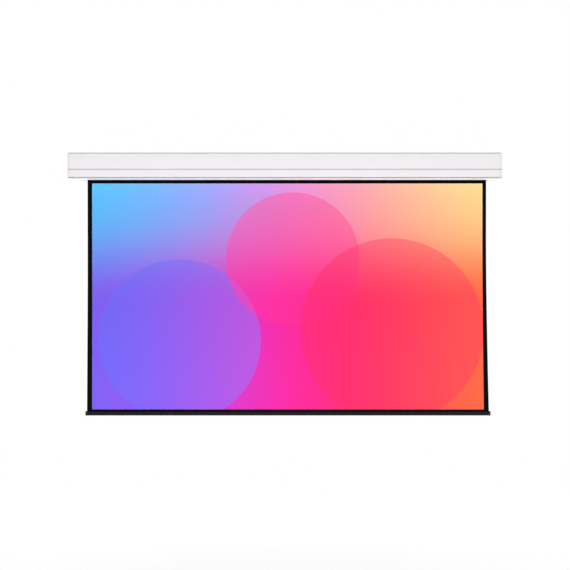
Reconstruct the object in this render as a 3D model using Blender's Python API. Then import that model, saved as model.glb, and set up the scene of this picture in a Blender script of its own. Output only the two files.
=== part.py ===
"""Motorised projection screen: a wall case, a roller turned by a tube motor, and a sheet with a weight bar.

Metres, +Z up. The front faces -Y and +X is to the viewer's right. The origin is on the case's back face,
in the middle of its length and height.
"""
import math

import bmesh
import bpy
from mathutils import Vector

# Fits
GAP = 0.0003                    # between pieces that touch
BOLT_CLEARANCE = 0.0003         # round a shank, on the radius

# Case
CASE_HEIGHT = 0.148
CASE_DEPTH = 0.147
CASE_WALL = 0.0018
FRONT_TOP_RADIUS = 0.010
FRONT_BOTTOM_RADIUS = 0.009
REAR_RADIUS = 0.009
SEAM_DROP = 0.094               # seam of the front faces, below the top of the case
SEAM_GROOVE = 0.005
SEAM_DEPTH = 0.0065             # groove's floor behind the front faces
SEAM_OVERLAP = 0.014            # the shell's flange behind the lower face
FOOT_HEIGHT = 0.0045            # the lip under the lower groove
FOOT_GROOVE = 0.0070            # height of the lower groove
FOOT_DEPTH = 0.0065
SLOT_WIDTH = 0.034              # the sheet's slot in the underside
SLOT_LIP = 0.007                # the lower face's turned-up edge at the slot
MOTOR_END_ROOM = 0.0993         # from the sheet's edge to the case's outer end
IDLER_END_ROOM = 0.075

# Screw ports of the extrusions
PORT_BORE = 0.0020              # radius
PORT_WALL = 0.0016
PORT_INSET = 0.0125             # from the case's faces to a port's centre
PORT_MOUTH = math.radians(50)   # the open side of the ring

# Channel and wall brackets
CHANNEL_RISE = 0.040            # channel's centre above the origin
CHANNEL_HEIGHT = 0.040
CHANNEL_MOUTH = 0.030
CHANNEL_DEPTH = 0.0044          # behind the lips
BRACKET_LENGTH = 0.090
BRACKET_INSET = 0.314           # from the case's outer end to each bracket's middle
BRACKET_HOLE = 0.00275          # radius
BRACKET_HOLE_SPACING = 0.056

# End caps, end plates and their screws
CAP_DEPTH = 0.014
CAP_ROUND = 0.008
CAP_RIM = 0.0042
CAP_FLOOR = 0.0060              # outer face to the pocket's floor
CAP_GROOVE_DEPTH = 0.0030       # the two grooves, carried on across the caps
CAP_GROOVE_REACH = 0.0060       # how far back from the front they run there
CAP_BOSS = 0.0058               # radius
PLATE_THICKNESS = 0.002
SCREW_RADIUS = 0.0017
SCREW_LENGTH = 0.020
SCREW_HEAD_RADIUS = 0.0036
SCREW_HEAD_HEIGHT = 0.0022
SCREW_SINK = 0.0026             # depth of the head's recess
SCREW_CROWN = 0.0007            # how far the head's top is rounded in

# Roller
TUBE_RADIUS = 0.030
TUBE_WALL = 0.0015
TUBE_SPARE_MOTOR = 0.033        # tube past the sheet's edge
TUBE_SPARE_IDLER = 0.030
ROLLER_DROP = 0.066             # roller's axis below the top of the case
KEY_WIDTH = 0.006
KEY_DEPTH = 0.0042
SPLINE_RADIUS = 0.0018
WOUND_TURNS = 2.25              # what stays on the roller when the sheet is let down
WOUND_PITCH = 0.0007            # from one turn to the next
WOUND_STEPS = 60                # points to a turn

# Sheet
SHEET_SETBACK = 0.087           # behind the front of the case
SHEET_THICKNESS = 0.0006
SHEET_WIDTH = 2.2537            # at the waist
BORDER_LEFT = 0.0255            # black, beside the picture
BORDER_RIGHT = 0.0208
BORDER_BOTTOM = 0.010           # black, above the bar
PICTURE_DROP = 0.167            # top of the picture below the top of the case
PICTURE_FLARE_RIGHT = 0.008     # how far the picture's own edge swings out
SHEET_FLARE_LEFT = 0.003        # how far each free edge swings out to the hem
SHEET_FLARE_RIGHT = 0.0155
SHEET_FLARE_POWER = 1.6
SHEET_WAIST = 0.72              # height of the waist as a share of the visible drop
SHEET_ROWS = 14
BAR_DROP = 1.455                # top of the weight bar below the top of the case

# Weight bar
BAR_HEIGHT = 0.024
BAR_DEPTH = 0.021
BAR_WALL = 0.0016
BAR_TOP_RADIUS = 0.004
BAR_BOTTOM_RADIUS = 0.009
BAR_SLOT = 0.0032
BAR_LIP = 0.003                 # how deep the slot's lips reach into the bar
BAR_OVERHANG = 0.0083           # bar caps past the sheet, at each side
BAR_CAP_LENGTH = 0.0074
BAR_CAP_PROUD = 0.0012
BAR_CAP_ROUND = 0.002
BAR_TONGUE = 0.018
HEM_ROD_RADIUS = 0.003
HEM_ROD_INSET = 0.014           # from the hem's ends to the rod's

# Motor
MOTOR_RADIUS = 0.0225
MOTOR_LENGTH = 0.480
MOTOR_END_ROUND = 0.002
HEAD_RADIUS = 0.0270
HEAD_LENGTH = 0.0165
HEAD_ROUND = 0.0015
HEAD_NECK = 0.006               # from the head's flange to the roller's end
HEAD_SPIGOT_RADIUS = 0.0075
SPIGOT_CLEARANCE = 0.0137       # from the spigot's tip to the end plate
LIMIT_SCREW_RADIUS = 0.0028
LIMIT_SCREW_LENGTH = 0.0090
LIMIT_SCREW_STAND = 0.0012      # out of the head's face
LIMIT_SCREW_CHAMFER = 0.0006
LIMIT_SCREW_OFFSET = 0.0185
LIMIT_SCREW_ANGLE = math.radians(28)
CROWN_LENGTH = 0.018
WHEEL_LENGTH = 0.016
SHAFT_RADIUS = 0.006
SHAFT_LENGTH = 0.026

# Roller brackets at the end plates
BRACKET_PLATE = 0.003
BRACKET_WIDTH = 0.058
BRACKET_HEIGHT = 0.076
BRACKET_CORNER = 0.006
BOLT_SPACING = 0.060
BOLT_RADIUS = 0.0025
BOLT_HEAD_RADIUS = 0.0044
BOLT_HEAD_HEIGHT = 0.0030
BOLT_LENGTH = 0.0049

# Idler end
PLUG_LENGTH = 0.034
PLUG_FLANGE = 0.003
PIN_RADIUS = 0.005
PIN_CLEARANCE = 0.0035          # from the pin's tip to the end plate
BUSH_FLANGE = 0.002
BUSH_RADIUS = 0.0085
BUSH_COLLAR = 0.0115
BUSH_REACH = 0.014
BOSS_RADIUS = 0.0135

# Power inlet and control box
INLET_RISE = -0.026             # inlet's centre above the origin
INLET_INSET = 0.0245            # inlet's centre in front of the back face
INLET_WIDTH = 0.0200
INLET_HEIGHT = 0.0275
INLET_WALL = 0.0016
INLET_CORNER = 0.003
INLET_DEPTH = 0.021             # body behind the cap's outer face
INLET_FLOOR = 0.003
INLET_FLANGE = 0.0024
INLET_FLANGE_THICKNESS = 0.0012
INLET_PIN_LENGTH = 0.0095
INLET_PIN_WIDTH = 0.0020
INLET_PIN_HEIGHT = 0.0040
INLET_PIN_SPACING = 0.007
CONTROL_LENGTH = 0.110
CONTROL_HEIGHT = 0.040
CONTROL_DEPTH = 0.024
CONTROL_LID = 0.007             # the lid's share of the depth, at the front
CONTROL_TAB = 0.010             # the base's ears at each end
CONTROL_TAB_THICKNESS = 0.0025
LEAD_RADIUS = 0.0025
LEAD_EXIT = 0.007               # from the head's flange to where its lead leaves
INLET_LEAD_REACH = 0.014        # how far a lead runs straight before it bends
MOTOR_LEAD_REACH = 0.030
LEAD_INSET = 0.010              # from the control box's end to where the motor's lead enters
LEAD_STEPS = 14
CONTROL_START = 0.040           # from the end plate
CONTROL_RISE = -0.020
CONTROL_ROUND = 0.003

# Places that follow from the sizes
TOP = CASE_HEIGHT / 2
BOTTOM = -TOP
FRONT = -CASE_DEPTH
CASE_LENGTH = SHEET_WIDTH + MOTOR_END_ROOM + IDLER_END_ROOM
SHEET_START = -CASE_LENGTH / 2 + MOTOR_END_ROOM
SHEET_END = CASE_LENGTH / 2 - IDLER_END_ROOM
SHEET_SHIFT = (SHEET_START + SHEET_END) / 2
TUBE_START = SHEET_START - TUBE_SPARE_MOTOR
TUBE_END = SHEET_END + TUBE_SPARE_IDLER
CAP_FACE = CASE_LENGTH / 2 - CAP_DEPTH
SHELL_END = CAP_FACE - GAP
PLATE_INNER = CAP_FACE
PLATE_OUTER = CAP_FACE + PLATE_THICKNESS
SEAM_Z = TOP - SEAM_DROP
FOOT_TOP = BOTTOM + FOOT_HEIGHT
FACE_END = FOOT_TOP + FOOT_GROOVE
SHEET_Y = FRONT + SHEET_SETBACK
SLOT_FRONT = SHEET_Y - SLOT_WIDTH / 2
SLOT_REAR = SHEET_Y + SLOT_WIDTH / 2
WOUND_RADIUS = TUBE_RADIUS + GAP + SHEET_THICKNESS / 2 + WOUND_TURNS * WOUND_PITCH
AXIS_Y = SHEET_Y - WOUND_RADIUS
AXIS_Z = TOP - ROLLER_DROP
BAR_TOP = TOP - BAR_DROP
HEM_MIDDLE = SHEET_SHIFT + (SHEET_FLARE_RIGHT - SHEET_FLARE_LEFT) / 2
HEM_WIDTH = SHEET_WIDTH + SHEET_FLARE_LEFT + SHEET_FLARE_RIGHT
BAR_HALF = HEM_WIDTH / 2 + BAR_OVERHANG
ROD_Z = BAR_TOP - BAR_LIP - GAP - HEM_ROD_RADIUS
BRACKET_FACE = PLATE_INNER - GAP
BRACKET_INNER = BRACKET_FACE - BRACKET_PLATE
HEAD_FLANGE = TUBE_START - HEAD_NECK
HEAD_FACE = HEAD_FLANGE - HEAD_LENGTH
MOTOR_END = HEAD_FLANGE + MOTOR_LENGTH


def clear_scene():
    """Remove whatever the scene holds."""
    for thing in list(bpy.data.objects):
        bpy.data.objects.remove(thing, do_unlink=True)


def material(name, colour, roughness, metallic=0.0):
    """Principled material in a plain colour."""
    made = bpy.data.materials.new(name)
    made.use_nodes = True
    shader = made.node_tree.nodes["Principled BSDF"]
    shader.inputs["Base Color"].default_value = (*colour, 1.0)
    shader.inputs["Roughness"].default_value = roughness
    shader.inputs["Metallic"].default_value = metallic
    made.diffuse_color = (*colour, 1.0)
    return made


def white_paint(name):
    """Powder-coated aluminium of the case."""
    return material(name, (0.87, 0.85, 0.87), 0.38)


def white_plastic(name):
    """Moulded ABS of the case's ends."""
    return material(name, (0.86, 0.84, 0.86), 0.42)


def zinc_steel(name):
    """Zinc-plated steel."""
    return material(name, (0.62, 0.63, 0.65), 0.35, 1.0)


def bare_aluminium(name):
    """Mill-finish aluminium."""
    return material(name, (0.78, 0.79, 0.80), 0.32, 1.0)


def black_plastic(name):
    """Moulded nylon or ABS in black."""
    return material(name, (0.02, 0.02, 0.022), 0.45)


def axis_empty(name, location):
    """Empty on a joint's axis or at the case's origin, which carries its pieces."""
    empty = bpy.data.objects.new(name, None)
    empty.location = location
    bpy.context.collection.objects.link(empty)
    return empty


def add_object(name, mesh, carrier, finish=None, location=(0.0, 0.0, 0.0)):
    """Named object on its carrier."""
    made = bpy.data.objects.new(name, mesh)
    made.parent = carrier
    made.location = location
    bpy.context.collection.objects.link(made)
    if finish is not None:
        mesh.materials.append(finish)
    return made


def mesh_from(name, points, faces, smooth_angle=None):
    """Mesh with its faces turned outwards."""
    mesh = bpy.data.meshes.new(name)
    shape = bmesh.new()
    corners = [shape.verts.new(point) for point in points]
    for face in faces:
        shape.faces.new([corners[index] for index in face])
    bmesh.ops.recalc_face_normals(shape, faces=shape.faces)
    shape.to_mesh(mesh)
    shape.free()
    if smooth_angle is not None:
        mesh.shade_smooth()
        mesh.set_sharp_from_angle(angle=smooth_angle)
    return mesh


def cutter(made):
    """Mark a guide solid, which only shapes another piece."""
    made.hide_render = True
    made.display_type = "WIRE"
    return made


def boolean(piece, guide, operation="DIFFERENCE"):
    """Cut a guide solid out of a piece, or join it on."""
    step = piece.modifiers.new(guide.name, "BOOLEAN")
    step.operation = operation
    step.solver = "EXACT"
    step.object = cutter(guide)


def arc(centre, radius, start, end, steps=6):
    """Points (y, z) along an arc, from one angle to another."""
    angles = [start + (end - start) * step / steps for step in range(steps + 1)]
    return [(centre[0] + radius * math.cos(a), centre[1] + radius * math.sin(a)) for a in angles]


def inset(path, distance, closed):
    """Path moved to its left by a distance, with mitred corners."""
    moved = []
    count = len(path)
    for index, (y, z) in enumerate(path):
        before = path[index - 1] if closed or index > 0 else None
        after = path[(index + 1) % count] if closed or index < count - 1 else None
        normals = []
        for start, end in ((before, (y, z)), ((y, z), after)):
            if start is not None and end is not None:
                run = Vector((end[0] - start[0], end[1] - start[1])).normalized()
                normals.append(Vector((-run.y, run.x)))
        middle = sum(normals, Vector((0.0, 0.0))).normalized()
        reach = distance / middle.dot(normals[0])
        moved.append((y + middle.x * reach, z + middle.y * reach))
    return moved


def loft(name, sections):
    """Solid through like outlines (x, [(y, z), ...]) in turn, with flat ends."""
    count = len(sections[0][1])
    points = [(x, y, z) for x, outline in sections for y, z in outline]
    last = (len(sections) - 1) * count
    faces = [list(range(count)), list(range(last, last + count))]
    for base in range(0, last, count):
        faces += [[base + i, base + (i + 1) % count, base + (i + 1) % count + count, base + i + count]
                  for i in range(count)]
    return mesh_from(name, points, faces)


def extrude(name, outline, start, end):
    """Solid with a (y, z) outline along X."""
    return loft(name, [(start, outline), (end, outline)])


def rounded_end(name, outline, inner, outer, amount, steps=4):
    """Extrusion from inner to outer whose outer end has a rounded edge."""
    side = 1 if outer > inner else -1
    sections = [(inner, outline)]
    for step in range(steps + 1):
        angle = math.pi / 2 * step / steps
        x = outer - side * amount * (1 - math.sin(angle))
        sections.append((x, inset(outline, amount * (1 - math.cos(angle)), True)))
    return loft(name, sections)


def extrude_wall(name, path, wall, start, end, closed=False):
    """Extrusion along X whose outer face follows a path, with an even wall on the path's left."""
    inner = inset(path, wall, closed)
    count = len(path)
    points = [(x, y, z) for x in (start, end) for line in (path, inner) for y, z in line]
    faces = []
    for i in range(count if closed else count - 1):
        j = (i + 1) % count
        faces.append([i, j, j + 2 * count, i + 2 * count])
        faces.append([i + count, j + count, j + 3 * count, i + 3 * count])
        for base in (0, 2 * count):
            faces.append([base + i, base + j, base + j + count, base + i + count])
    if not closed:
        for i in (0, count - 1):
            faces.append([i, i + count, i + 3 * count, i + 2 * count])
    return mesh_from(name, points, faces)


def turned(name, profile, segments=32, ring=False, centre=(0.0, 0.0)):
    """Solid turned about X from (x, radius) points; a ring's profile closes on itself."""
    points = []
    rows = []
    for x, radius in profile:
        if radius == 0.0:
            rows.append([len(points)])
            points.append((x, *centre))
            continue
        rows.append(list(range(len(points), len(points) + segments)))
        for step in range(segments):
            angle = 2 * math.pi * step / segments
            points.append((x, centre[0] + radius * math.cos(angle), centre[1] + radius * math.sin(angle)))
    faces = []
    pairs = list(zip(rows, rows[1:])) + ([(rows[-1], rows[0])] if ring else [])
    for low, high in pairs:
        for step in range(segments):
            after = (step + 1) % segments
            if len(low) == 1:
                faces.append([low[0], high[step], high[after]])
            elif len(high) == 1:
                faces.append([low[step], low[after], high[0]])
            else:
                faces.append([low[step], low[after], high[after], high[step]])
    return mesh_from(name, points, faces, smooth_angle=math.radians(35))


def rod(start, end, radius):
    """Profile of a plain round bar."""
    return [(start, 0.0), (start, radius), (end, radius), (end, 0.0)]


def sleeve(start, end, inner, outer):
    """Profile of a plain ring."""
    return [(start, inner), (start, outer), (end, outer), (end, inner)]


def box(name, low, high, carrier):
    """Plain box between two corners."""
    outline = [(low[1], low[2]), (high[1], low[2]), (high[1], high[2]), (low[1], high[2])]
    return add_object(name, extrude(name, outline, low[0], high[0]), carrier)


def rounded_outline(width, height, radius, centre=(0.0, 0.0), steps=3):
    """Rectangle with round corners, counter-clockwise in (y, z)."""
    y, z = width / 2 - radius, height / 2 - radius
    outline = []
    for turn, (side_y, side_z) in enumerate(((1, 1), (-1, 1), (-1, -1), (1, -1))):
        corner = (centre[0] + side_y * y, centre[1] + side_z * z)
        outline += arc(corner, radius, turn * math.pi / 2, (turn + 1) * math.pi / 2, steps)
    return outline


def shell_path():
    """Outer line of the case shell, from the slot's rear edge round to the seam's flange."""
    path = [(SLOT_REAR, BOTTOM)]
    path += arc((-REAR_RADIUS, BOTTOM + REAR_RADIUS), REAR_RADIUS, -math.pi / 2, 0, 3)
    path += arc((-REAR_RADIUS, TOP - REAR_RADIUS), REAR_RADIUS, 0, math.pi / 2, 3)
    centre = (FRONT + FRONT_TOP_RADIUS, TOP - FRONT_TOP_RADIUS)
    path += arc(centre, FRONT_TOP_RADIUS, math.pi / 2, math.pi)
    edge = SEAM_Z + SEAM_GROOVE / 2
    floor = FRONT + SEAM_DEPTH
    path += [(FRONT, edge), (floor, edge), (floor, edge - SEAM_GROOVE - SEAM_OVERLAP)]
    return path


def fascia_path():
    """Outer line of the lower face, from its turned-in edge at the seam to the lower groove's floor."""
    edge = SEAM_Z - SEAM_GROOVE / 2
    floor = FRONT + FOOT_DEPTH
    return [(FRONT + SEAM_DEPTH - GAP, edge), (FRONT, edge), (FRONT, FACE_END), (floor, FACE_END),
            (floor, BOTTOM + CASE_WALL / 2)]


def foot_outline():
    """Closed outline of the lip under the lower groove and of the underside, to the slot's turned-up edge."""
    centre = (FRONT + FRONT_BOTTOM_RADIUS, BOTTOM + FRONT_BOTTOM_RADIUS)
    nose = math.asin((FOOT_HEIGHT - FRONT_BOTTOM_RADIUS) / FRONT_BOTTOM_RADIUS)
    outline = arc(centre, FRONT_BOTTOM_RADIUS, math.pi - nose, 1.5 * math.pi)
    inner, rear = BOTTOM + CASE_WALL, FRONT + FOOT_DEPTH + CASE_WALL
    outline += [(SLOT_FRONT, BOTTOM), (SLOT_FRONT, BOTTOM + SLOT_LIP),
                (SLOT_FRONT - CASE_WALL, BOTTOM + SLOT_LIP), (SLOT_FRONT - CASE_WALL, inner),
                (rear, inner), (rear, FOOT_TOP)]
    return outline


def case_outline():
    """Closed outer line of the whole case's section."""
    outline = arc((-REAR_RADIUS, BOTTOM + REAR_RADIUS), REAR_RADIUS, -math.pi / 2, 0, 3)
    outline += arc((-REAR_RADIUS, TOP - REAR_RADIUS), REAR_RADIUS, 0, math.pi / 2, 3)
    outline += arc((FRONT + FRONT_TOP_RADIUS, TOP - FRONT_TOP_RADIUS), FRONT_TOP_RADIUS, math.pi / 2, math.pi)
    outline += arc((FRONT + FRONT_BOTTOM_RADIUS, BOTTOM + FRONT_BOTTOM_RADIUS), FRONT_BOTTOM_RADIUS,
                   math.pi, 1.5 * math.pi)
    return outline


def port_centres():
    """Screw ports (y, z) at the section's corners; the last one belongs to the lower face."""
    front, rear = FRONT + PORT_INSET, -PORT_INSET
    top, bottom = TOP - PORT_INSET, BOTTOM + PORT_INSET
    return [(rear, bottom), (rear, top), (front, top), (front, bottom)]


def add_port(shell, number, outward, reach, carrier):
    """Open ring for a self-tapping screw, on a web that reaches outwards to a wall's middle."""
    centre = port_centres()[number]
    away = math.atan2(outward[1], outward[0])
    turn = math.pi - PORT_MOUTH
    ring_path = arc(centre, PORT_BORE + PORT_WALL, away - turn, away + turn, 10)
    ring = extrude_wall(f"port_ring_{number}", ring_path, PORT_WALL, -SHELL_END, SHELL_END)
    boolean(shell, add_object(ring.name, ring, carrier), "UNION")
    direction = Vector(outward).normalized()
    side = Vector((-direction.y, direction.x)) * PORT_WALL / 2
    near = Vector(centre) + direction * (PORT_BORE + PORT_WALL / 2)
    far = Vector(centre) + direction * reach
    outline = [tuple(point) for point in (near - side, far - side, far + side, near + side)]
    web = extrude(f"port_web_{number}", outline, -SHELL_END, SHELL_END)
    boolean(shell, add_object(web.name, web, carrier), "UNION")


def build_case_shell(carrier):
    """Extruded case with its screw ports and the bracket channel in its back."""
    mesh = extrude_wall("case_shell", shell_path(), CASE_WALL, -SHELL_END, SHELL_END)
    shell = add_object("case_shell", mesh, carrier, white_paint("case_paint"))
    floor = -CASE_WALL - CHANNEL_DEPTH
    low, high = CHANNEL_RISE - CHANNEL_HEIGHT / 2, CHANNEL_RISE + CHANNEL_HEIGHT / 2
    rear = -CASE_WALL / 2
    rail_path = [(rear, low), (floor, low), (floor, high), (rear, high)]
    rail = extrude_wall("channel_rail", rail_path, CASE_WALL, -SHELL_END, SHELL_END)
    boolean(shell, add_object("channel_rail", rail, carrier), "UNION")
    for number, outward, radius in ((0, (1, -1), REAR_RADIUS), (1, (1, 1), REAR_RADIUS),
                                    (2, (-1, 1), FRONT_TOP_RADIUS)):
        corner = (PORT_INSET - radius) * math.sqrt(2) + radius
        add_port(shell, number, outward, corner - CASE_WALL / 2, carrier)
    mouth_low, mouth_high = CHANNEL_RISE - CHANNEL_MOUTH / 2, CHANNEL_RISE + CHANNEL_MOUTH / 2
    past = CASE_LENGTH
    mouth = box("channel_mouth", (-past, -CASE_WALL - GAP, mouth_low), (past, CASE_WALL, mouth_high), carrier)
    boolean(shell, mouth)


def build_lower_fascia(carrier):
    """Lower front face, with a groove above its foot, turned under to the slot."""
    mesh = extrude_wall("lower_fascia", fascia_path(), CASE_WALL, -SHELL_END, SHELL_END)
    fascia = add_object("lower_fascia", mesh, carrier, white_paint("fascia_paint"))
    foot = extrude("fascia_foot", foot_outline(), -SHELL_END, SHELL_END)
    boolean(fascia, add_object("fascia_foot", foot, carrier), "UNION")
    add_port(fascia, 3, (-1, 0), PORT_INSET - FOOT_DEPTH - CASE_WALL / 2, carrier)


def bolt_places():
    """The two bolts (y, z) of a roller bracket."""
    return [(AXIS_Y, AXIS_Z + side * BOLT_SPACING / 2) for side in (1, -1)]


def build_end_plate(side_name, side, carrier):
    """Steel plate that carries one end of the roller."""
    outline = inset(case_outline(), CAP_RIM + GAP, True)
    name = f"end_plate_{side_name}"
    ends = sorted((side * PLATE_INNER, side * PLATE_OUTER))
    plate = add_object(name, extrude(name, outline, *ends), carrier, zinc_steel(f"{name}_zinc"))
    past = CASE_LENGTH
    for number, centre in enumerate(port_centres()):
        profile = rod(-past, past, SCREW_RADIUS + BOLT_CLEARANCE)
        hole = turned(f"{name}_hole_{number}", profile, 16, centre=centre)
        boolean(plate, add_object(hole.name, hole, carrier))
    for number, centre in enumerate(bolt_places()):
        profile = rod(-past, past, BOLT_RADIUS + BOLT_CLEARANCE)
        hole = turned(f"{name}_bolt_hole_{number}", profile, 16, centre=centre)
        boolean(plate, add_object(hole.name, hole, carrier))
    return plate


def build_end_cap(side_name, side, carrier):
    """Moulded end cover with rounded edges, a seat for the plate and four screw bosses."""
    name = f"end_cap_{side_name}"
    outer = side * CASE_LENGTH / 2
    mesh = rounded_end(name, case_outline(), side * CAP_FACE, outer, CAP_ROUND, 5)
    cap = add_object(name, mesh, carrier, white_plastic(f"{name}_plastic"))
    core_mesh = rounded_end(f"{name}_core", inset(case_outline(), CAP_GROOVE_DEPTH, True), 0.0,
                            outer - side * CAP_GROOVE_DEPTH, CAP_ROUND - CAP_GROOVE_DEPTH, 5)
    core = add_object(core_mesh.name, core_mesh, carrier)
    groove_ends = sorted((side * CAP_FACE / 2, 2 * outer))
    for part, low, high in (("seam", SEAM_Z - SEAM_GROOVE / 2, SEAM_Z + SEAM_GROOVE / 2),
                            ("foot", FOOT_TOP, FACE_END)):
        groove = box(f"{name}_{part}_groove", (groove_ends[0], -2 * CASE_DEPTH, low),
                     (groove_ends[1], FRONT + CAP_GROOVE_REACH, high), carrier)
        boolean(groove, core)
        boolean(cap, groove)
    seat_outline = inset(case_outline(), CAP_RIM, True)
    seat_ends = sorted((side * (CAP_FACE - PLATE_THICKNESS), side * (PLATE_OUTER + GAP)))
    seat = extrude(f"{name}_seat", seat_outline, *seat_ends)
    boolean(cap, add_object(seat.name, seat, carrier))
    pocket_outline = inset(case_outline(), CAP_ROUND, True)
    pocket_ends = sorted((side * (CAP_FACE - PLATE_THICKNESS), outer - side * CAP_FLOOR))
    pocket_mesh = extrude(f"{name}_pocket", pocket_outline, *pocket_ends)
    pocket = add_object(pocket_mesh.name, pocket_mesh, carrier)
    for number, centre in enumerate(port_centres()):
        boss = turned(f"{name}_boss_{number}", rod(-CASE_LENGTH, CASE_LENGTH, CAP_BOSS), 20, centre=centre)
        boolean(pocket, add_object(boss.name, boss, carrier))
    boolean(cap, pocket)
    for number, centre in enumerate(port_centres()):
        floor = outer - side * SCREW_SINK
        profile = rod(side * CAP_FACE / 2, side * CASE_LENGTH, SCREW_RADIUS + BOLT_CLEARANCE)
        hole = turned(f"{name}_hole_{number}", profile, 16, centre=centre)
        boolean(cap, add_object(hole.name, hole, carrier))
        recess_profile = rod(floor, side * CASE_LENGTH, SCREW_HEAD_RADIUS + BOLT_CLEARANCE)
        recess = turned(f"{name}_recess_{number}", recess_profile, 20, centre=centre)
        boolean(cap, add_object(recess.name, recess, carrier))
    return cap


def build_cap_screws(side_name, side, carrier):
    """Self-tapping screws through the cap and the plate into the ports."""
    under_head = CASE_LENGTH / 2 - SCREW_SINK + GAP
    head = under_head + SCREW_HEAD_HEIGHT
    for number, centre in enumerate(port_centres(), 1):
        tip = under_head - SCREW_LENGTH
        profile = [(tip, 0.0), (tip + SCREW_RADIUS, SCREW_RADIUS), (under_head, SCREW_RADIUS),
                   (under_head, SCREW_HEAD_RADIUS), (head - SCREW_CROWN, SCREW_HEAD_RADIUS),
                   (head, SCREW_HEAD_RADIUS - SCREW_CROWN), (head, 0.0)]
        name = f"cap_screw_{side_name}_{number}"
        mesh = turned(name, [(side * x, radius) for x, radius in profile], 12)
        add_object(name, mesh, carrier, zinc_steel(f"{name}_zinc"), (0.0, *centre))


def build_wall_bracket(side_name, side, carrier):
    """Aluminium slider in the back channel, flush with the case's back, with two holes for wall screws."""
    foot_front, foot_rear = -CASE_WALL - CHANNEL_DEPTH + GAP, -CASE_WALL - GAP
    foot, pad = CHANNEL_HEIGHT / 2 - GAP, CHANNEL_MOUTH / 2 - GAP
    outline = [(foot_front, -foot), (foot_rear, -foot), (foot_rear, -pad), (0.0, -pad),
               (0.0, pad), (foot_rear, pad), (foot_rear, foot), (foot_front, foot)]
    name = f"wall_bracket_{side_name}"
    mesh = extrude(name, outline, -BRACKET_LENGTH / 2, BRACKET_LENGTH / 2)
    place = (side * (CASE_LENGTH / 2 - BRACKET_INSET), 0.0, CHANNEL_RISE)
    bracket = add_object(name, mesh, carrier, bare_aluminium(f"{name}_aluminium"), place)
    for number, hole_side in enumerate((-1, 1)):
        hole_name = f"{name}_hole_{number}"
        hole = bpy.data.meshes.new(hole_name)
        shape = bmesh.new()
        bmesh.ops.create_cone(shape, cap_ends=True, segments=20, radius1=BRACKET_HOLE, radius2=BRACKET_HOLE,
                              depth=CASE_DEPTH)
        shape.to_mesh(hole)
        shape.free()
        where = (place[0] + hole_side * BRACKET_HOLE_SPACING / 2, 0.0, CHANNEL_RISE)
        guide = add_object(hole_name, hole, carrier, location=where)
        guide.rotation_euler = (math.pi / 2, 0.0, 0.0)
        boolean(bracket, guide)


def build_motor(axis):
    """Fixed tube motor: its body inside the roller, its head on the bracket and the two limit screws."""
    profile = [(-PLATE_INNER + SPIGOT_CLEARANCE, 0.0), (-PLATE_INNER + SPIGOT_CLEARANCE, HEAD_SPIGOT_RADIUS),
               (HEAD_FACE, HEAD_SPIGOT_RADIUS), (HEAD_FACE, HEAD_RADIUS - HEAD_ROUND),
               (HEAD_FACE + HEAD_ROUND, HEAD_RADIUS), (HEAD_FLANGE, HEAD_RADIUS), (HEAD_FLANGE, 0.0)]
    head_mesh = turned("motor_head", profile, 40)
    head = add_object("motor_head", head_mesh, axis, black_plastic("motor_head_plastic"))
    profile = [(HEAD_FLANGE + GAP, 0.0), (HEAD_FLANGE + GAP, MOTOR_RADIUS),
               (MOTOR_END - MOTOR_END_ROUND, MOTOR_RADIUS), (MOTOR_END, MOTOR_RADIUS - MOTOR_END_ROUND),
               (MOTOR_END, 0.0)]
    add_object("motor_body", turned("motor_body", profile, 40), axis, zinc_steel("motor_body_steel"))
    tip, top = HEAD_FACE + LIMIT_SCREW_LENGTH - LIMIT_SCREW_STAND, HEAD_FACE - LIMIT_SCREW_STAND
    for name, turn in (("limit_screw_up", 1), ("limit_screw_down", -1)):
        angle = math.pi / 2 + turn * LIMIT_SCREW_ANGLE
        centre = (LIMIT_SCREW_OFFSET * math.cos(angle), LIMIT_SCREW_OFFSET * math.sin(angle))
        profile = rod(HEAD_FACE - HEAD_LENGTH, tip + GAP, LIMIT_SCREW_RADIUS + GAP)
        socket = turned(f"{name}_socket", profile, 16, centre=centre)
        boolean(head, add_object(socket.name, socket, axis))
        profile = [(top, 0.0), (top, LIMIT_SCREW_RADIUS - LIMIT_SCREW_CHAMFER),
                   (top + LIMIT_SCREW_CHAMFER, LIMIT_SCREW_RADIUS), (tip, LIMIT_SCREW_RADIUS), (tip, 0.0)]
        finish = material(f"{name}_plastic", (0.85, 0.45, 0.05), 0.5)
        add_object(name, turned(name, profile, 12), axis, finish, (0.0, *centre))


def bracket_plate(name, inner, outer, carrier, finish):
    """Plate bolted to an end plate, centred on the roller's axis."""
    outline = rounded_outline(BRACKET_WIDTH, BRACKET_HEIGHT, BRACKET_CORNER, (AXIS_Y, AXIS_Z))
    plate = add_object(name, extrude(name, outline, *sorted((inner, outer))), carrier, finish)
    for number, centre in enumerate(bolt_places()):
        profile = rod(-CASE_LENGTH, CASE_LENGTH, BOLT_RADIUS + BOLT_CLEARANCE)
        hole = turned(f"{name}_bolt_hole_{number}", profile, 16, centre=centre)
        boolean(plate, add_object(hole.name, hole, carrier))
    return plate


def build_bolts(prefix, side, carrier):
    """Bolts that clamp a roller bracket to its end plate, with their heads inside the case."""
    seat = side * BRACKET_INNER - side * GAP
    tip = seat + side * BOLT_LENGTH
    head = seat - side * BOLT_HEAD_HEIGHT
    for number, centre in enumerate(bolt_places(), 1):
        name = f"{prefix}_bolt_{number}"
        profile = [(tip, 0.0), (tip, BOLT_RADIUS), (seat, BOLT_RADIUS), (seat, BOLT_HEAD_RADIUS),
                   (head, BOLT_HEAD_RADIUS), (head, 0.0)]
        mesh = turned(name, profile, 12)
        mesh.shade_flat()
        add_object(name, mesh, carrier, zinc_steel(f"{name}_zinc"), (0.0, *centre))


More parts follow.
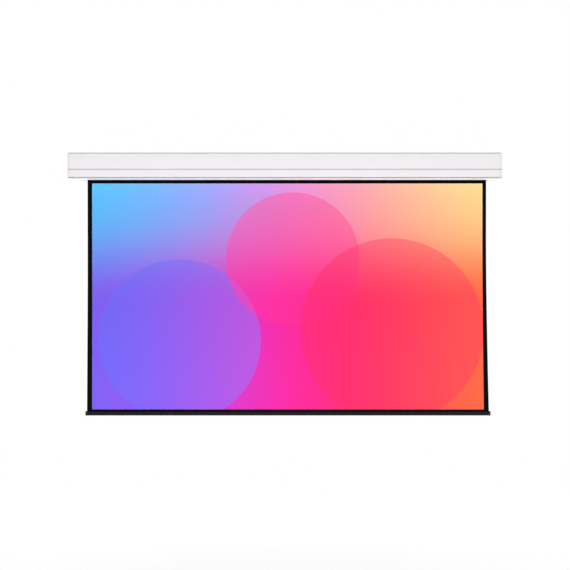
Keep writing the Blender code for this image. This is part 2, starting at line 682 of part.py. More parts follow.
def build_motor_bracket(carrier):
    """Steel holder with a collar round the motor head's spigot."""
    finish = zinc_steel("motor_bracket_zinc")
    bracket = bracket_plate("motor_bracket", -BRACKET_INNER, -BRACKET_FACE, carrier, finish)
    collar_profile = sleeve(-BRACKET_FACE, HEAD_FACE - GAP, HEAD_SPIGOT_RADIUS + GAP, BOSS_RADIUS)
    collar = turned("motor_bracket_collar", collar_profile, 32, ring=True, centre=(AXIS_Y, AXIS_Z))
    bore_profile = rod(-CASE_LENGTH, -BRACKET_INNER / 2, HEAD_SPIGOT_RADIUS + GAP)
    spigot_hole = turned("motor_bracket_bore", bore_profile, 32, centre=(AXIS_Y, AXIS_Z))
    boolean(bracket, add_object(collar.name, collar, carrier), "UNION")
    boolean(bracket, add_object(spigot_hole.name, spigot_hole, carrier))
    build_bolts("motor", -1, carrier)


def build_idler_bracket(carrier):
    """Steel holder with a boss for the idler's bush."""
    finish = zinc_steel("idler_bracket_zinc")
    bracket = bracket_plate("idler_bracket", BRACKET_INNER, BRACKET_FACE, carrier, finish)
    boss_end = BRACKET_INNER - BUSH_REACH
    axis = (AXIS_Y, AXIS_Z)
    boss_profile = sleeve(boss_end, BRACKET_FACE, BUSH_RADIUS + GAP, BOSS_RADIUS)
    boss = turned("idler_bracket_boss", boss_profile, 32, ring=True, centre=axis)
    bore_profile = rod(BRACKET_INNER / 2, CASE_LENGTH, BUSH_RADIUS + GAP)
    bore = turned("idler_bracket_bore", bore_profile, 32, centre=axis)
    boolean(bracket, add_object(boss.name, boss, carrier), "UNION")
    boolean(bracket, add_object(bore.name, bore, carrier))
    collar = boss_end - GAP
    bush_profile = [(collar - BUSH_FLANGE, PIN_RADIUS + GAP), (collar - BUSH_FLANGE, BUSH_COLLAR),
                    (collar, BUSH_COLLAR), (collar, BUSH_RADIUS), (BRACKET_FACE, BUSH_RADIUS),
                    (BRACKET_FACE, PIN_RADIUS + GAP)]
    bush = turned("idler_bush", bush_profile, 32, ring=True)
    acetal = material("idler_bush_acetal", (0.80, 0.79, 0.74), 0.4)
    add_object("idler_bush", bush, carrier, acetal, (0.0, *axis))
    build_bolts("idler", 1, carrier)


def tube_path(radius, key_width, key_depth):
    """Round section with one key groove at its top, counter-clockwise about the axis."""
    half = math.asin(key_width / 2 / radius)
    path = arc((0.0, 0.0), radius, math.pi / 2 + half, 2.5 * math.pi - half, 48)
    floor = radius * math.cos(half) - key_depth
    return path + [(key_width / 2, floor), (-key_width / 2, floor)]


def wound_path():
    """Outer line of the turns left on the roller, inwards from where the sheet leaves at the rear."""
    steps = round(WOUND_TURNS * WOUND_STEPS)
    path = []
    for step in range(steps + 1):
        turn = step / WOUND_STEPS
        radius = WOUND_RADIUS + SHEET_THICKNESS / 2 - WOUND_PITCH * turn
        path.append((radius * math.cos(2 * math.pi * turn), radius * math.sin(2 * math.pi * turn)))
    return path


def build_roller(axis):
    """Everything that turns about the roller's axis."""
    path = tube_path(TUBE_RADIUS, KEY_WIDTH, KEY_DEPTH)
    tube = extrude_wall("roller_tube", path, TUBE_WALL, TUBE_START, TUBE_END, True)
    tube.shade_smooth()
    tube.set_sharp_from_angle(angle=math.radians(35))
    add_object("roller_tube", tube, axis, bare_aluminium("roller_tube_aluminium"))
    bore = TUBE_RADIUS - TUBE_WALL - GAP
    notch_floor = TUBE_RADIUS - KEY_DEPTH - TUBE_WALL - 2 * GAP
    notch_half = KEY_WIDTH / 2 + TUBE_WALL + GAP
    crown_end = TUBE_START + CROWN_LENGTH
    crown_profile = sleeve(TUBE_START, crown_end, MOTOR_RADIUS + GAP, bore)
    wheel_start = MOTOR_END + SHAFT_LENGTH - WHEEL_LENGTH
    wheel_profile = sleeve(wheel_start, wheel_start + WHEEL_LENGTH, SHAFT_RADIUS + GAP, bore)
    plug_start = TUBE_END - PLUG_LENGTH
    plug_profile = [(plug_start, PIN_RADIUS + GAP), (plug_start, bore), (TUBE_END + GAP, bore),
                    (TUBE_END + GAP, TUBE_RADIUS), (TUBE_END + GAP + PLUG_FLANGE, TUBE_RADIUS),
                    (TUBE_END + GAP + PLUG_FLANGE, PIN_RADIUS + GAP)]
    for name, profile, length_end in (("idle_crown", crown_profile, crown_end),
                                      ("drive_wheel", wheel_profile, MOTOR_END + SHAFT_LENGTH + GAP),
                                      ("idler_plug", plug_profile, TUBE_END + GAP / 2)):
        piece = add_object(name, turned(name, profile, 40, ring=True), axis, black_plastic(f"{name}_nylon"))
        notch = box(f"{name}_notch", (profile[0][0] - GAP, -notch_half, notch_floor),
                    (length_end, notch_half, TUBE_RADIUS * 2), axis)
        boolean(piece, notch)
    shaft = turned("drive_shaft", rod(MOTOR_END + GAP, MOTOR_END + SHAFT_LENGTH, SHAFT_RADIUS), 24)
    add_object("drive_shaft", shaft, axis, zinc_steel("drive_shaft_steel"))
    pin = turned("idler_pin", rod(TUBE_END - PLUG_LENGTH, PLATE_INNER - PIN_CLEARANCE, PIN_RADIUS), 24)
    add_object("idler_pin", pin, axis, zinc_steel("idler_pin_steel"))
    key_floor = TUBE_RADIUS * math.cos(math.asin(KEY_WIDTH / 2 / TUBE_RADIUS)) - KEY_DEPTH
    spline_z = key_floor + GAP + SPLINE_RADIUS
    spline = turned("sheet_spline", rod(SHEET_START, SHEET_END, SPLINE_RADIUS), 10, centre=(0.0, spline_z))
    add_object("sheet_spline", spline, axis, material("sheet_spline_plastic", (0.75, 0.75, 0.74), 0.5))
    wound = extrude_wall("wound_sheet", wound_path(), SHEET_THICKNESS, SHEET_START, SHEET_END)
    wound.shade_smooth()
    wound.set_sharp_from_angle(angle=math.radians(35))
    add_object("wound_sheet", wound, axis, material("wound_sheet_back", (0.03, 0.03, 0.03), 0.7))


def edge_swing(share, flare):
    """How far a free edge stands out from the waist, at a share of the drop counted up from the hem."""
    if share >= SHEET_WAIST:
        return 0.0
    return flare * (1.0 - share / SHEET_WAIST) ** SHEET_FLARE_POWER


def build_sheet(slide):
    """Hanging sheet with its printed picture, from the roller's rear side to the rod in the bar's slot."""
    drop = AXIS_Z - GAP - BAR_TOP
    picture_top = TOP - PICTURE_DROP - BAR_TOP
    rows = [ROD_Z + HEM_ROD_RADIUS + GAP - BAR_TOP, 0.0]
    row_height = (picture_top - BORDER_BOTTOM) / SHEET_ROWS
    rows += [BORDER_BOTTOM + row_height * row for row in range(SHEET_ROWS + 1)]
    rows.append(drop)
    points = []
    for y in (-SHEET_THICKNESS / 2, SHEET_THICKNESS / 2):
        for z in rows:
            share = max(z, 0.0) / drop
            picture_edge = SHEET_END - BORDER_RIGHT + edge_swing(share, PICTURE_FLARE_RIGHT)
            points.append((SHEET_START - edge_swing(share, SHEET_FLARE_LEFT), y, z))
            points.append((SHEET_START + BORDER_LEFT, y, z))
            points.append((picture_edge, y, z))
            points.append((SHEET_END + edge_swing(share, SHEET_FLARE_RIGHT), y, z))
    columns, count = 4, 4 * len(rows)
    faces, pictured = [], []
    for row in range(len(rows) - 1):
        for column in range(columns - 1):
            corner = row * columns + column
            pictured.append(column == 1 and 2 <= row < len(rows) - 2)
            faces.append([corner, corner + 1, corner + columns + 1, corner + columns])
            pictured.append(False)
            faces.append([count + index for index in faces[-1]])
        for corner in (row * columns, row * columns + columns - 1):
            pictured.append(False)
            faces.append([corner, corner + columns, count + corner + columns, count + corner])
    for corner in [edge * (count - columns) + column for edge in (0, 1) for column in range(columns - 1)]:
        pictured.append(False)
        faces.append([corner, corner + 1, count + corner + 1, count + corner])
    mesh = mesh_from("screen_sheet", points, faces)
    add_object("screen_sheet", mesh, slide, material("sheet_black_vinyl", (0.015, 0.015, 0.016), 0.6))
    mesh.materials.append(material("sheet_print", (0.80, 0.10, 0.35), 0.6))
    for face, printed in zip(mesh.polygons, pictured):
        face.material_index = int(printed)


def bar_path():
    """Outer line of the weight bar's section, from the slot's front lip round to its rear lip."""
    half = BAR_DEPTH / 2
    top_y = half - BAR_TOP_RADIUS
    low_y, low_z = half - BAR_BOTTOM_RADIUS, BAR_BOTTOM_RADIUS - BAR_HEIGHT
    path = [(-BAR_SLOT / 2, -BAR_LIP), (-BAR_SLOT / 2, 0.0)]
    path += arc((-top_y, -BAR_TOP_RADIUS), BAR_TOP_RADIUS, math.pi / 2, math.pi, 4)
    path += arc((-low_y, low_z), BAR_BOTTOM_RADIUS, math.pi, 1.5 * math.pi, 6)
    path += arc((low_y, low_z), BAR_BOTTOM_RADIUS, 1.5 * math.pi, 2 * math.pi, 6)
    path += arc((top_y, -BAR_TOP_RADIUS), BAR_TOP_RADIUS, 0, math.pi / 2, 4)
    return path + [(BAR_SLOT / 2, 0.0), (BAR_SLOT / 2, -BAR_LIP)]


def build_bar(slide):
    """Weight bar, the rod in the hem and the bar's end caps."""
    bar_end = BAR_HALF - BAR_CAP_LENGTH - GAP
    bar = extrude_wall("bottom_bar", bar_path(), BAR_WALL, HEM_MIDDLE - bar_end, HEM_MIDDLE + bar_end)
    bar.shade_smooth()
    bar.set_sharp_from_angle(angle=math.radians(35))
    add_object("bottom_bar", bar, slide, material("bottom_bar_anodised", (0.035, 0.035, 0.04), 0.35, 0.6))
    rod_half = HEM_WIDTH / 2 - HEM_ROD_INSET
    profile = rod(HEM_MIDDLE - rod_half, HEM_MIDDLE + rod_half, HEM_ROD_RADIUS)
    hem = turned("hem_rod", profile, 12, centre=(0.0, ROD_Z - BAR_TOP))
    add_object("hem_rod", hem, slide, zinc_steel("hem_rod_steel"))
    closed = bar_path()[2:-2]
    proud = inset(closed, -BAR_CAP_PROUD, True)
    tongue_outline = inset(closed, BAR_WALL + GAP, True)
    for side_name, side in (("left", -1), ("right", 1)):
        name = f"bar_cap_{side_name}"
        outer, inner = HEM_MIDDLE + side * BAR_HALF, HEM_MIDDLE + side * (BAR_HALF - BAR_CAP_LENGTH)
        mesh = rounded_end(name, proud, inner, outer, BAR_CAP_ROUND, 3)
        cap = add_object(name, mesh, slide, black_plastic(f"{name}_plastic"))
        rod_end = HEM_MIDDLE + side * (rod_half + GAP)
        tongue_end = inner - side * min(BAR_TONGUE, abs(inner - rod_end))
        tongue_ends = sorted((tongue_end, inner + side * BAR_CAP_LENGTH / 2))
        tongue_mesh = extrude(f"{name}_tongue", tongue_outline, *tongue_ends)
        tongue = add_object(tongue_mesh.name, tongue_mesh, slide)
        lips = BAR_SLOT / 2 + BAR_WALL + GAP
        notch_ends = sorted((HEM_MIDDLE, inner + side * GAP))
        notch = box(f"{name}_notch", (notch_ends[0], -lips, -BAR_LIP - GAP),
                    (notch_ends[1], lips, BAR_HEIGHT), slide)
        boolean(tongue, notch)
        boolean(cap, tongue, "UNION")


def build_power_inlet(cap, plate, carrier):
    """Mains inlet with three pins, set through the left cap and plate."""
    centre = (-INLET_INSET, INLET_RISE)
    face = -CASE_LENGTH / 2
    back = face + INLET_DEPTH
    body_outline = rounded_outline(INLET_WIDTH, INLET_HEIGHT, INLET_CORNER, centre)
    flange_outline = inset(body_outline, -INLET_FLANGE, True)
    inlet_mesh = extrude("power_inlet", flange_outline, face - GAP - INLET_FLANGE_THICKNESS, face - GAP)
    inlet = add_object("power_inlet", inlet_mesh, carrier, black_plastic("power_inlet_plastic"))
    body = extrude("inlet_body", body_outline, face - GAP - INLET_FLANGE_THICKNESS / 2, back)
    boolean(inlet, add_object(body.name, body, carrier), "UNION")
    recess_outline = inset(body_outline, INLET_WALL, True)
    recess_mesh = extrude("inlet_recess", recess_outline, face - INLET_DEPTH, back - INLET_FLOOR)
    recess = add_object(recess_mesh.name, recess_mesh, carrier)
    for number, (y, z) in enumerate(((0.0, 0.0), (0.0, INLET_PIN_SPACING), (0.0, -INLET_PIN_SPACING))):
        low = (back - INLET_FLOOR - INLET_PIN_LENGTH, centre[0] + y - INLET_PIN_HEIGHT / 2,
               centre[1] + z - INLET_PIN_WIDTH / 2)
        high = (back, centre[0] + y + INLET_PIN_HEIGHT / 2, centre[1] + z + INLET_PIN_WIDTH / 2)
        boolean(recess, box(f"inlet_pin_{number}", low, high, carrier))
    boolean(inlet, recess)
    window = extrude("inlet_window", inset(body_outline, -GAP, True), -CASE_LENGTH, -CASE_LENGTH / 4)
    guide = add_object(window.name, window, carrier)
    boolean(cap, guide)
    boolean(plate, guide)


def build_control_box(carrier):
    """Switch and receiver housing on the inside of the case's back: a base with ears, and a lid."""
    start = -PLATE_INNER + CONTROL_START
    end = start + CONTROL_LENGTH
    rear = -CASE_WALL - GAP
    centre = (rear - CONTROL_DEPTH / 2, CONTROL_RISE)
    outline = rounded_outline(CONTROL_DEPTH, CONTROL_HEIGHT, CONTROL_ROUND, centre)
    split = rear - CONTROL_DEPTH + CONTROL_LID
    base = add_object("control_box", extrude("control_box", outline, start, end), carrier,
                      black_plastic("control_box_plastic"))
    lid = add_object("control_lid", extrude("control_lid", outline, start, end), carrier,
                     black_plastic("control_lid_plastic"))
    half = CONTROL_HEIGHT
    boolean(base, box("control_front", (-CASE_LENGTH, -CASE_DEPTH, CONTROL_RISE - half),
                      (CASE_LENGTH, split + GAP, CONTROL_RISE + half), carrier))
    boolean(lid, box("control_rear", (-CASE_LENGTH, split, CONTROL_RISE - half),
                     (CASE_LENGTH, CASE_DEPTH, CONTROL_RISE + half), carrier))
    ear_half = CONTROL_HEIGHT / 4
    ears = box("control_ears", (start - CONTROL_TAB, rear - CONTROL_TAB_THICKNESS, CONTROL_RISE - ear_half),
               (end + CONTROL_TAB, rear, CONTROL_RISE + ear_half), carrier)
    boolean(base, ears, "UNION")


def lead(name, start, start_way, end, end_way, reach, carrier):
    """Wire that leaves two pieces straight and bends smoothly between them."""
    start, end = Vector(start), Vector(end)
    near, far = start + Vector(start_way) * reach, end + Vector(end_way) * reach
    curve = bpy.data.curves.new(name, "CURVE")
    curve.dimensions = "3D"
    curve.bevel_depth = LEAD_RADIUS
    curve.bevel_resolution = 2
    curve.use_fill_caps = True
    spline = curve.splines.new("POLY")
    spline.points.add(LEAD_STEPS)
    for step, point in enumerate(spline.points):
        share = step / LEAD_STEPS
        rest = 1 - share
        place = rest ** 3 * start + 3 * rest ** 2 * share * near
        place += 3 * rest * share ** 2 * far + share ** 3 * end
        point.co = (*place, 1.0)
    made = bpy.data.objects.new(name, curve)
    made.parent = carrier
    bpy.context.collection.objects.link(made)
    curve.materials.append(black_plastic(f"{name}_sheath"))


def build_leads(carrier):
    """The two wires inside the case: inlet to control box, and control box to motor."""
    box_start = -PLATE_INNER + CONTROL_START
    box_middle = -CASE_WALL - GAP - (CONTROL_DEPTH - CONTROL_LID) / 2
    inlet_back = (-CASE_LENGTH / 2 + INLET_DEPTH + GAP, -INLET_INSET, INLET_RISE)
    box_end = (box_start - GAP, -CASE_WALL - CONTROL_DEPTH / 2,
               CONTROL_RISE + CONTROL_HEIGHT / 4 + LEAD_RADIUS)
    lead("inlet_lead", inlet_back, (1, 0, 0), box_end, (-1, 0, 0), INLET_LEAD_REACH, carrier)
    box_top = (box_start + LEAD_INSET, box_middle, CONTROL_RISE + CONTROL_HEIGHT / 2 + GAP)
    head_rear = (HEAD_FLANGE - LEAD_EXIT, AXIS_Y + HEAD_RADIUS + GAP, AXIS_Z)
    lead("motor_lead", box_top, (0, 0, 1), head_rear, (0, 1, 0), MOTOR_LEAD_REACH, carrier)


def build_screen():
    """Put the whole screen together."""
    clear_scene()
    casing = axis_empty("casing_origin", (0.0, 0.0, 0.0))
    roller_axis = axis_empty("roller_axis", (0.0, AXIS_Y, AXIS_Z))
    bar_slide = axis_empty("bar_slide", (0.0, SHEET_Y, BAR_TOP))
    build_case_shell(casing)
    build_lower_fascia(casing)
    for side_name, side in (("left", -1), ("right", 1)):
        plate = build_end_plate(side_name, side, casing)
        cap = build_end_cap(side_name, side, casing)
        build_cap_screws(side_name, side, casing)
        build_wall_bracket(side_name, side, casing)
        if side_name == "left":
            build_power_inlet(cap, plate, casing)
    build_motor_bracket(casing)
    build_idler_bracket(casing)
    build_motor(roller_axis)
    build_control_box(casing)
    build_leads(casing)
    build_roller(roller_axis)
    build_sheet(bar_slide)
    build_bar(bar_slide)


build_screen()
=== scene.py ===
"""Looks of a motorised projection screen: its finishes, its hanging sheet with the print, and the light."""
import math

import bmesh
import bpy
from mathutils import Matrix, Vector


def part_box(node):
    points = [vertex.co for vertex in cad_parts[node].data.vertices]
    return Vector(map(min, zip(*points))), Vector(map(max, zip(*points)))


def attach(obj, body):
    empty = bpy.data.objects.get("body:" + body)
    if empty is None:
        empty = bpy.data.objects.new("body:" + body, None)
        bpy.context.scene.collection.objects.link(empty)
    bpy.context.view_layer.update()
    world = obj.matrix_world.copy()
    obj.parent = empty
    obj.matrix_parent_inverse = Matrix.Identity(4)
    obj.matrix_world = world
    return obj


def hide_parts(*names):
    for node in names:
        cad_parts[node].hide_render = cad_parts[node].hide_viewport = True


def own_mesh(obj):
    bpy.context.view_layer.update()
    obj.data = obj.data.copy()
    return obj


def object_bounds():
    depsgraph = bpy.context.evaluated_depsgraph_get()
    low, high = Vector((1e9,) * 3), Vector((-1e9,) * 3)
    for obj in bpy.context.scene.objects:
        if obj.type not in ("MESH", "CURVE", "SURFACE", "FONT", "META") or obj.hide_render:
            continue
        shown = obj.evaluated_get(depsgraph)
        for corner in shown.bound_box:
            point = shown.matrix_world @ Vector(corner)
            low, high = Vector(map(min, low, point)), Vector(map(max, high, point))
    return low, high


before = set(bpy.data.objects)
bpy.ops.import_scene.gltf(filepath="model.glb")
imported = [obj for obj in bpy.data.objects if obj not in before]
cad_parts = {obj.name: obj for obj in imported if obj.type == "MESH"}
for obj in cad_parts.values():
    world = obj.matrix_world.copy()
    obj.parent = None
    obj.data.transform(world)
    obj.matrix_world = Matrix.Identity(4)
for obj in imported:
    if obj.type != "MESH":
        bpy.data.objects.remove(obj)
cad_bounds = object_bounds()

# Wall brackets
# Short lengths of mill-finish aluminium section, bright and faintly drawn along their length.
# They slide in the channel in the case's back, and the wall screws go through their two holes.
MILL_SHADE = "A6A9AD"
MILL_LIGHT = "B9BCBF"
MILL_ROUGHNESS = (0.34, 0.48)   # in the hollows and on the crests of the grain, as in every pair below
MILL_LINE_MM = 0.8              # die lines are about 0.1 mm; drawn as coarse as they need to show
MILL_RELIEF_MM = 0.004
DRAWN_LENGTHWAYS = (0.02, 1.0, 1.0)     # the grain runs on fifty times as far along the length
GRAIN_DETAIL = 3.0
COLOUR_A, COLOUR_B, COLOUR_OUT = 6, 7, 2        # sockets of a Mix node that mixes colours
SAWN_EDGE_MM = 0.3
EDGE_STEPS = 2
SHARP_DEGREES = 32              # edges that turn by more are rounded
FLAT_DEGREES = 0.6              # triangles that turn by less belong to one flat face
JOINED = 1e-5                   # corners closer than this are one corner
WELD_MM = 0.008                 # closes up the slivers that a rounded edge leaves at a corner
LARGE_FACES_LEAD = 100          # rounded edges take their shading from the flat faces beside them


def linear(hex_colour):
    """Linear colour from an sRGB hex value."""
    channels = [int(hex_colour[i:i + 2], 16) / 255 for i in (0, 2, 4)]
    return (*[c / 12.92 if c <= 0.04045 else ((c + 0.055) / 1.055) ** 2.4 for c in channels], 1.0)


def add_node(tree, kind, settings=None, inputs=None):
    """Node with its settings, and with its inputs set to values or linked to sockets."""
    node = tree.nodes.new(kind)
    for name, value in (settings or {}).items():
        setattr(node, name, value)
    for name, value in (inputs or {}).items():
        if isinstance(value, bpy.types.NodeSocket):
            tree.links.new(value, node.inputs[name])
        else:
            node.inputs[name].default_value = value
    return node


def grained(name, colours, grain_mm, roughness, relief_mm, metallic=0.0, stretch=(1.0, 1.0, 1.0), sheen=0.5):
    """Finish whose tone, roughness and height follow one fine grain of a real size."""
    finish = bpy.data.materials.new(name)
    finish.use_nodes = True
    tree = finish.node_tree
    surface = tree.nodes["Principled BSDF"]
    surface.inputs["Metallic"].default_value = metallic
    surface.inputs["Specular IOR Level"].default_value = sheen
    place = add_node(tree, "ShaderNodeTexCoord")
    drawn = add_node(tree, "ShaderNodeMapping", inputs={"Vector": place.outputs["Object"], "Scale": stretch})
    grain = add_node(tree, "ShaderNodeTexNoise",
                     inputs={"Vector": drawn.outputs[0], "Scale": 1000 / grain_mm, "Detail": GRAIN_DETAIL})
    tone = add_node(tree, "ShaderNodeMix", {"data_type": "RGBA"},
                    {0: grain.outputs[0], COLOUR_A: linear(colours[0]), COLOUR_B: linear(colours[1])})
    gloss = add_node(tree, "ShaderNodeMapRange",
                     inputs={"Value": grain.outputs[0], "To Min": roughness[0], "To Max": roughness[1]})
    relief = add_node(tree, "ShaderNodeBump",
                      inputs={"Height": grain.outputs[0], "Distance": relief_mm / 1000})
    tree.links.new(tone.outputs[COLOUR_OUT], surface.inputs["Base Color"])
    tree.links.new(gloss.outputs[0], surface.inputs["Roughness"])
    tree.links.new(relief.outputs[0], surface.inputs["Normal"])
    return finish


def applied(piece):
    """Turn what a piece's modifiers make into its plain mesh."""
    made = piece.evaluated_get(bpy.context.evaluated_depsgraph_get())
    mesh = bpy.data.meshes.new_from_object(made)
    piece.modifiers.clear()
    piece.data = mesh


def edged(piece, edge_mm):
    """Round a piece's sharp edges, shade its flat faces flat, and make it plain."""
    edge = piece.modifiers.new("edge", "BEVEL")
    edge.width = edge_mm / 1000
    edge.segments = EDGE_STEPS
    edge.angle_limit = math.radians(SHARP_DEGREES)
    weld = piece.modifiers.new("weld", "WELD")
    weld.merge_threshold = WELD_MM / 1000
    shading = piece.modifiers.new("shading", "WEIGHTED_NORMAL")
    shading.weight = LARGE_FACES_LEAD
    applied(piece)


def dressed(node, finish, body, edge_mm):
    """Copy of a CAD node with its flat faces rejoined and its sharp edges rounded, in its real finish."""
    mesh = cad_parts[node].data.copy()
    merged = bmesh.new()
    merged.from_mesh(mesh)
    bmesh.ops.remove_doubles(merged, verts=merged.verts, dist=JOINED)
    bmesh.ops.dissolve_limit(merged, angle_limit=math.radians(FLAT_DEGREES), verts=merged.verts,
                             edges=merged.edges)
    merged.to_mesh(mesh)
    merged.free()
    mesh.materials.clear()
    mesh.materials.append(finish)
    mesh.shade_smooth()
    piece = bpy.data.objects.new(f"{node}_surface", mesh)
    bpy.context.collection.objects.link(piece)
    edged(piece, edge_mm)
    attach(piece, body)
    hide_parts(node)
    return piece


# Mill-finish aluminium: pale metal with long fine die lines
mill_aluminium = grained("mill_aluminium", (MILL_SHADE, MILL_LIGHT), MILL_LINE_MM, MILL_ROUGHNESS,
                         MILL_RELIEF_MM, metallic=1.0, stretch=DRAWN_LENGTHWAYS)
for side in ("left", "right"):
    dressed(f"wall_bracket_{side}", mill_aluminium, "casing", SAWN_EDGE_MM)

# Case shell
# One aluminium extrusion, 2.4 m long, powder-coated white with a satin gloss.
# It is cut to length, and the end covers are screwed into the ports at its corners.
COAT_LIGHT = "F3F1F3"
COAT_SHADE = "F0EDF0"
COAT_ROUGHNESS = (0.40, 0.48)
COAT_SHEEN = 0.35
COAT_GRAIN_MM = 1.6             # ripples of the cured powder, orange peel
COAT_RIPPLE_MM = 0.012
COATED_EDGE_MM = 0.35
# Greys of a painted shade on the groove floors, darker and lighter
SEAM_PAINTED_SHADE_DARK = "D3CFD3"
SEAM_PAINTED_SHADE_LIGHT = "DAD6DA"
GROOVE_FLOOR_ROUGHNESS = (0.50, 0.60)
GROOVE_NEAR = 0.002             # a groove's floor lies between these two behind the case's front
GROOVE_FAR = 0.007
FRONTWARD = -0.5                # a face looks to the front where its normal's Y is less


def recoated(piece, finish):
    """Give the floors of a front face's grooves another finish: a painted shade."""
    piece.data.materials.append(finish)
    for face in piece.data.polygons:
        behind = face.center.y - cad_bounds[0].y
        if face.normal.y < FRONTWARD and GROOVE_NEAR < behind < GROOVE_FAR:
            face.material_index = 1


# Satin powder coat: even white with a soft sheen, faintly rippled
powder_coat = grained("satin_powder_coat", (COAT_SHADE, COAT_LIGHT), COAT_GRAIN_MM, COAT_ROUGHNESS,
                      COAT_RIPPLE_MM, sheen=COAT_SHEEN)
# The same powder in the seam's groove, greyer by a painted shade, and duller
seam_painted_shade = grained("seam_painted_shade_coat", (SEAM_PAINTED_SHADE_DARK, SEAM_PAINTED_SHADE_LIGHT), COAT_GRAIN_MM, GROOVE_FLOOR_ROUGHNESS,
                    COAT_RIPPLE_MM)
shell = dressed("case_shell", powder_coat, "casing", COATED_EDGE_MM)
recoated(shell, seam_painted_shade)

# End plates and roller brackets
# Pressed mild steel, zinc plated: a cool grey with a soft crystalline mottle.
# The plates sit in the end covers, and the brackets are bolted to them from inside the case.
ZINC_SHADE = "AEB3B8"
ZINC_LIGHT = "C9CDD1"
ZINC_ROUGHNESS = (0.28, 0.44)
ZINC_SPANGLE_MM = 6.0
ZINC_RELIEF_MM = 0.004
PRESSED_EDGE_MM = 0.2

# Zinc plate: grey metal whose gloss changes softly from crystal to crystal
zinc = grained("bright_zinc_plate", (ZINC_SHADE, ZINC_LIGHT), ZINC_SPANGLE_MM, ZINC_ROUGHNESS, ZINC_RELIEF_MM,
               metallic=1.0)
for node in ("end_plate_left", "end_plate_right", "motor_bracket", "idler_bracket",
             "motor_bolt_1", "motor_bolt_2", "idler_bolt_1", "idler_bolt_2"):
    dressed(node, zinc, "casing", PRESSED_EDGE_MM)

# Tube motor
# A drawn steel tube with a moulded head, held still in the motor bracket's collar.
# Its two stops are set with the orange screws in the head's face.
NYLON_SHADE = "101011"
NYLON_LIGHT = "1B1B1D"
NYLON_ROUGHNESS = (0.38, 0.50)
NYLON_SHEEN = 0.3
ORANGE_SHADE = "E07A16"
ORANGE_LIGHT = "EE8A22"
ORANGE_ROUGHNESS = (0.34, 0.44)
MOULD_GRAIN_MM = 0.6            # spark-eroded texture is about 0.1 mm; drawn as coarse as it needs to show
MOULD_RELIEF_MM = 0.012
MOULDED_EDGE_MM = 0.3
SMALL_EDGE_MM = 0.15

# Glass-filled nylon: black and semi-matt from the mould
black_nylon = grained("moulded_black_nylon", (NYLON_SHADE, NYLON_LIGHT), MOULD_GRAIN_MM, NYLON_ROUGHNESS,
                      MOULD_RELIEF_MM, sheen=NYLON_SHEEN)
# Unfilled orange nylon: one clear colour, slightly waxy
orange_nylon = grained("moulded_orange_nylon", (ORANGE_SHADE, ORANGE_LIGHT), MOULD_GRAIN_MM, ORANGE_ROUGHNESS,
                       MOULD_RELIEF_MM)
dressed("motor_body", zinc, "casing", SMALL_EDGE_MM)
dressed("motor_head", black_nylon, "casing", MOULDED_EDGE_MM)
for node in ("limit_screw_up", "limit_screw_down"):
    dressed(node, orange_nylon, "casing", SMALL_EDGE_MM)

# Control box and leads
# A moulded base and lid on the inside of the case's back, with the motor's switch and the receiver.
# Round PVC leads come to it from the inlet, and go on from it to the motor's head.
PVC_SHADE = "0E0E0F"
PVC_LIGHT = "19191A"
PVC_ROUGHNESS = (0.40, 0.55)
SHEATH_GRAIN_MM = 2.5

# PVC sheath: soft black with a slight uneven sheen
pvc_sheath = grained("pvc_lead_sheath", (PVC_SHADE, PVC_LIGHT), SHEATH_GRAIN_MM, PVC_ROUGHNESS,
                     MOULD_RELIEF_MM)
for node in ("control_box", "control_lid"):
    dressed(node, black_nylon, "casing", MOULDED_EDGE_MM)
for node in ("inlet_lead", "motor_lead"):
    dressed(node, pvc_sheath, "casing", SMALL_EDGE_MM)

# Roller
# Extruded aluminium tube with a key groove, turning on the motor's crown and the idler's plug.
# The motor's wheel drives it from inside, and the pin at the other end runs in an acetal bush.
ACETAL_SHADE = "DEDBD2"
ACETAL_LIGHT = "E9E6DE"
ACETAL_ROUGHNESS = (0.30, 0.38)

# Natural acetal: creamy white, smooth and slightly waxy
acetal = grained("natural_acetal", (ACETAL_SHADE, ACETAL_LIGHT), MOULD_GRAIN_MM, ACETAL_ROUGHNESS,
                 MOULD_RELIEF_MM)
dressed("roller_tube", mill_aluminium, "roller", PRESSED_EDGE_MM)
for node in ("drive_shaft", "idler_pin"):
    dressed(node, zinc, "roller", SMALL_EDGE_MM)
for node in ("drive_wheel", "idle_crown", "idler_plug"):
    dressed(node, black_nylon, "roller", PRESSED_EDGE_MM)
dressed("idler_bush", acetal, "casing", SMALL_EDGE_MM)
dressed("sheet_spline", acetal, "roller", SMALL_EDGE_MM)

# Turns of sheet on the roller
# The cloth's last turns stay wound on the tube when the screen is down, with its black back outwards.
# The spline in the tube's key groove holds their inner end.
VINYL_SHADE = "070708"
VINYL_LIGHT = "101011"
VINYL_ROUGHNESS = (0.60, 0.72)
VINYL_SHEEN = 0.12
VINYL_GRAIN_MM = 0.9            # calender grain is about 0.3 mm; drawn as coarse as it needs to show
VINYL_RELIEF_MM = 0.02
CLOTH_EDGE_MM = 0.05

# Coated vinyl back: matt black with a fine calendered grain
vinyl_back = grained("coated_black_vinyl", (VINYL_SHADE, VINYL_LIGHT), VINYL_GRAIN_MM, VINYL_ROUGHNESS,
                     VINYL_RELIEF_MM, sheen=VINYL_SHEEN)
dressed("wound_sheet", vinyl_back, "roller", CLOTH_EDGE_MM)

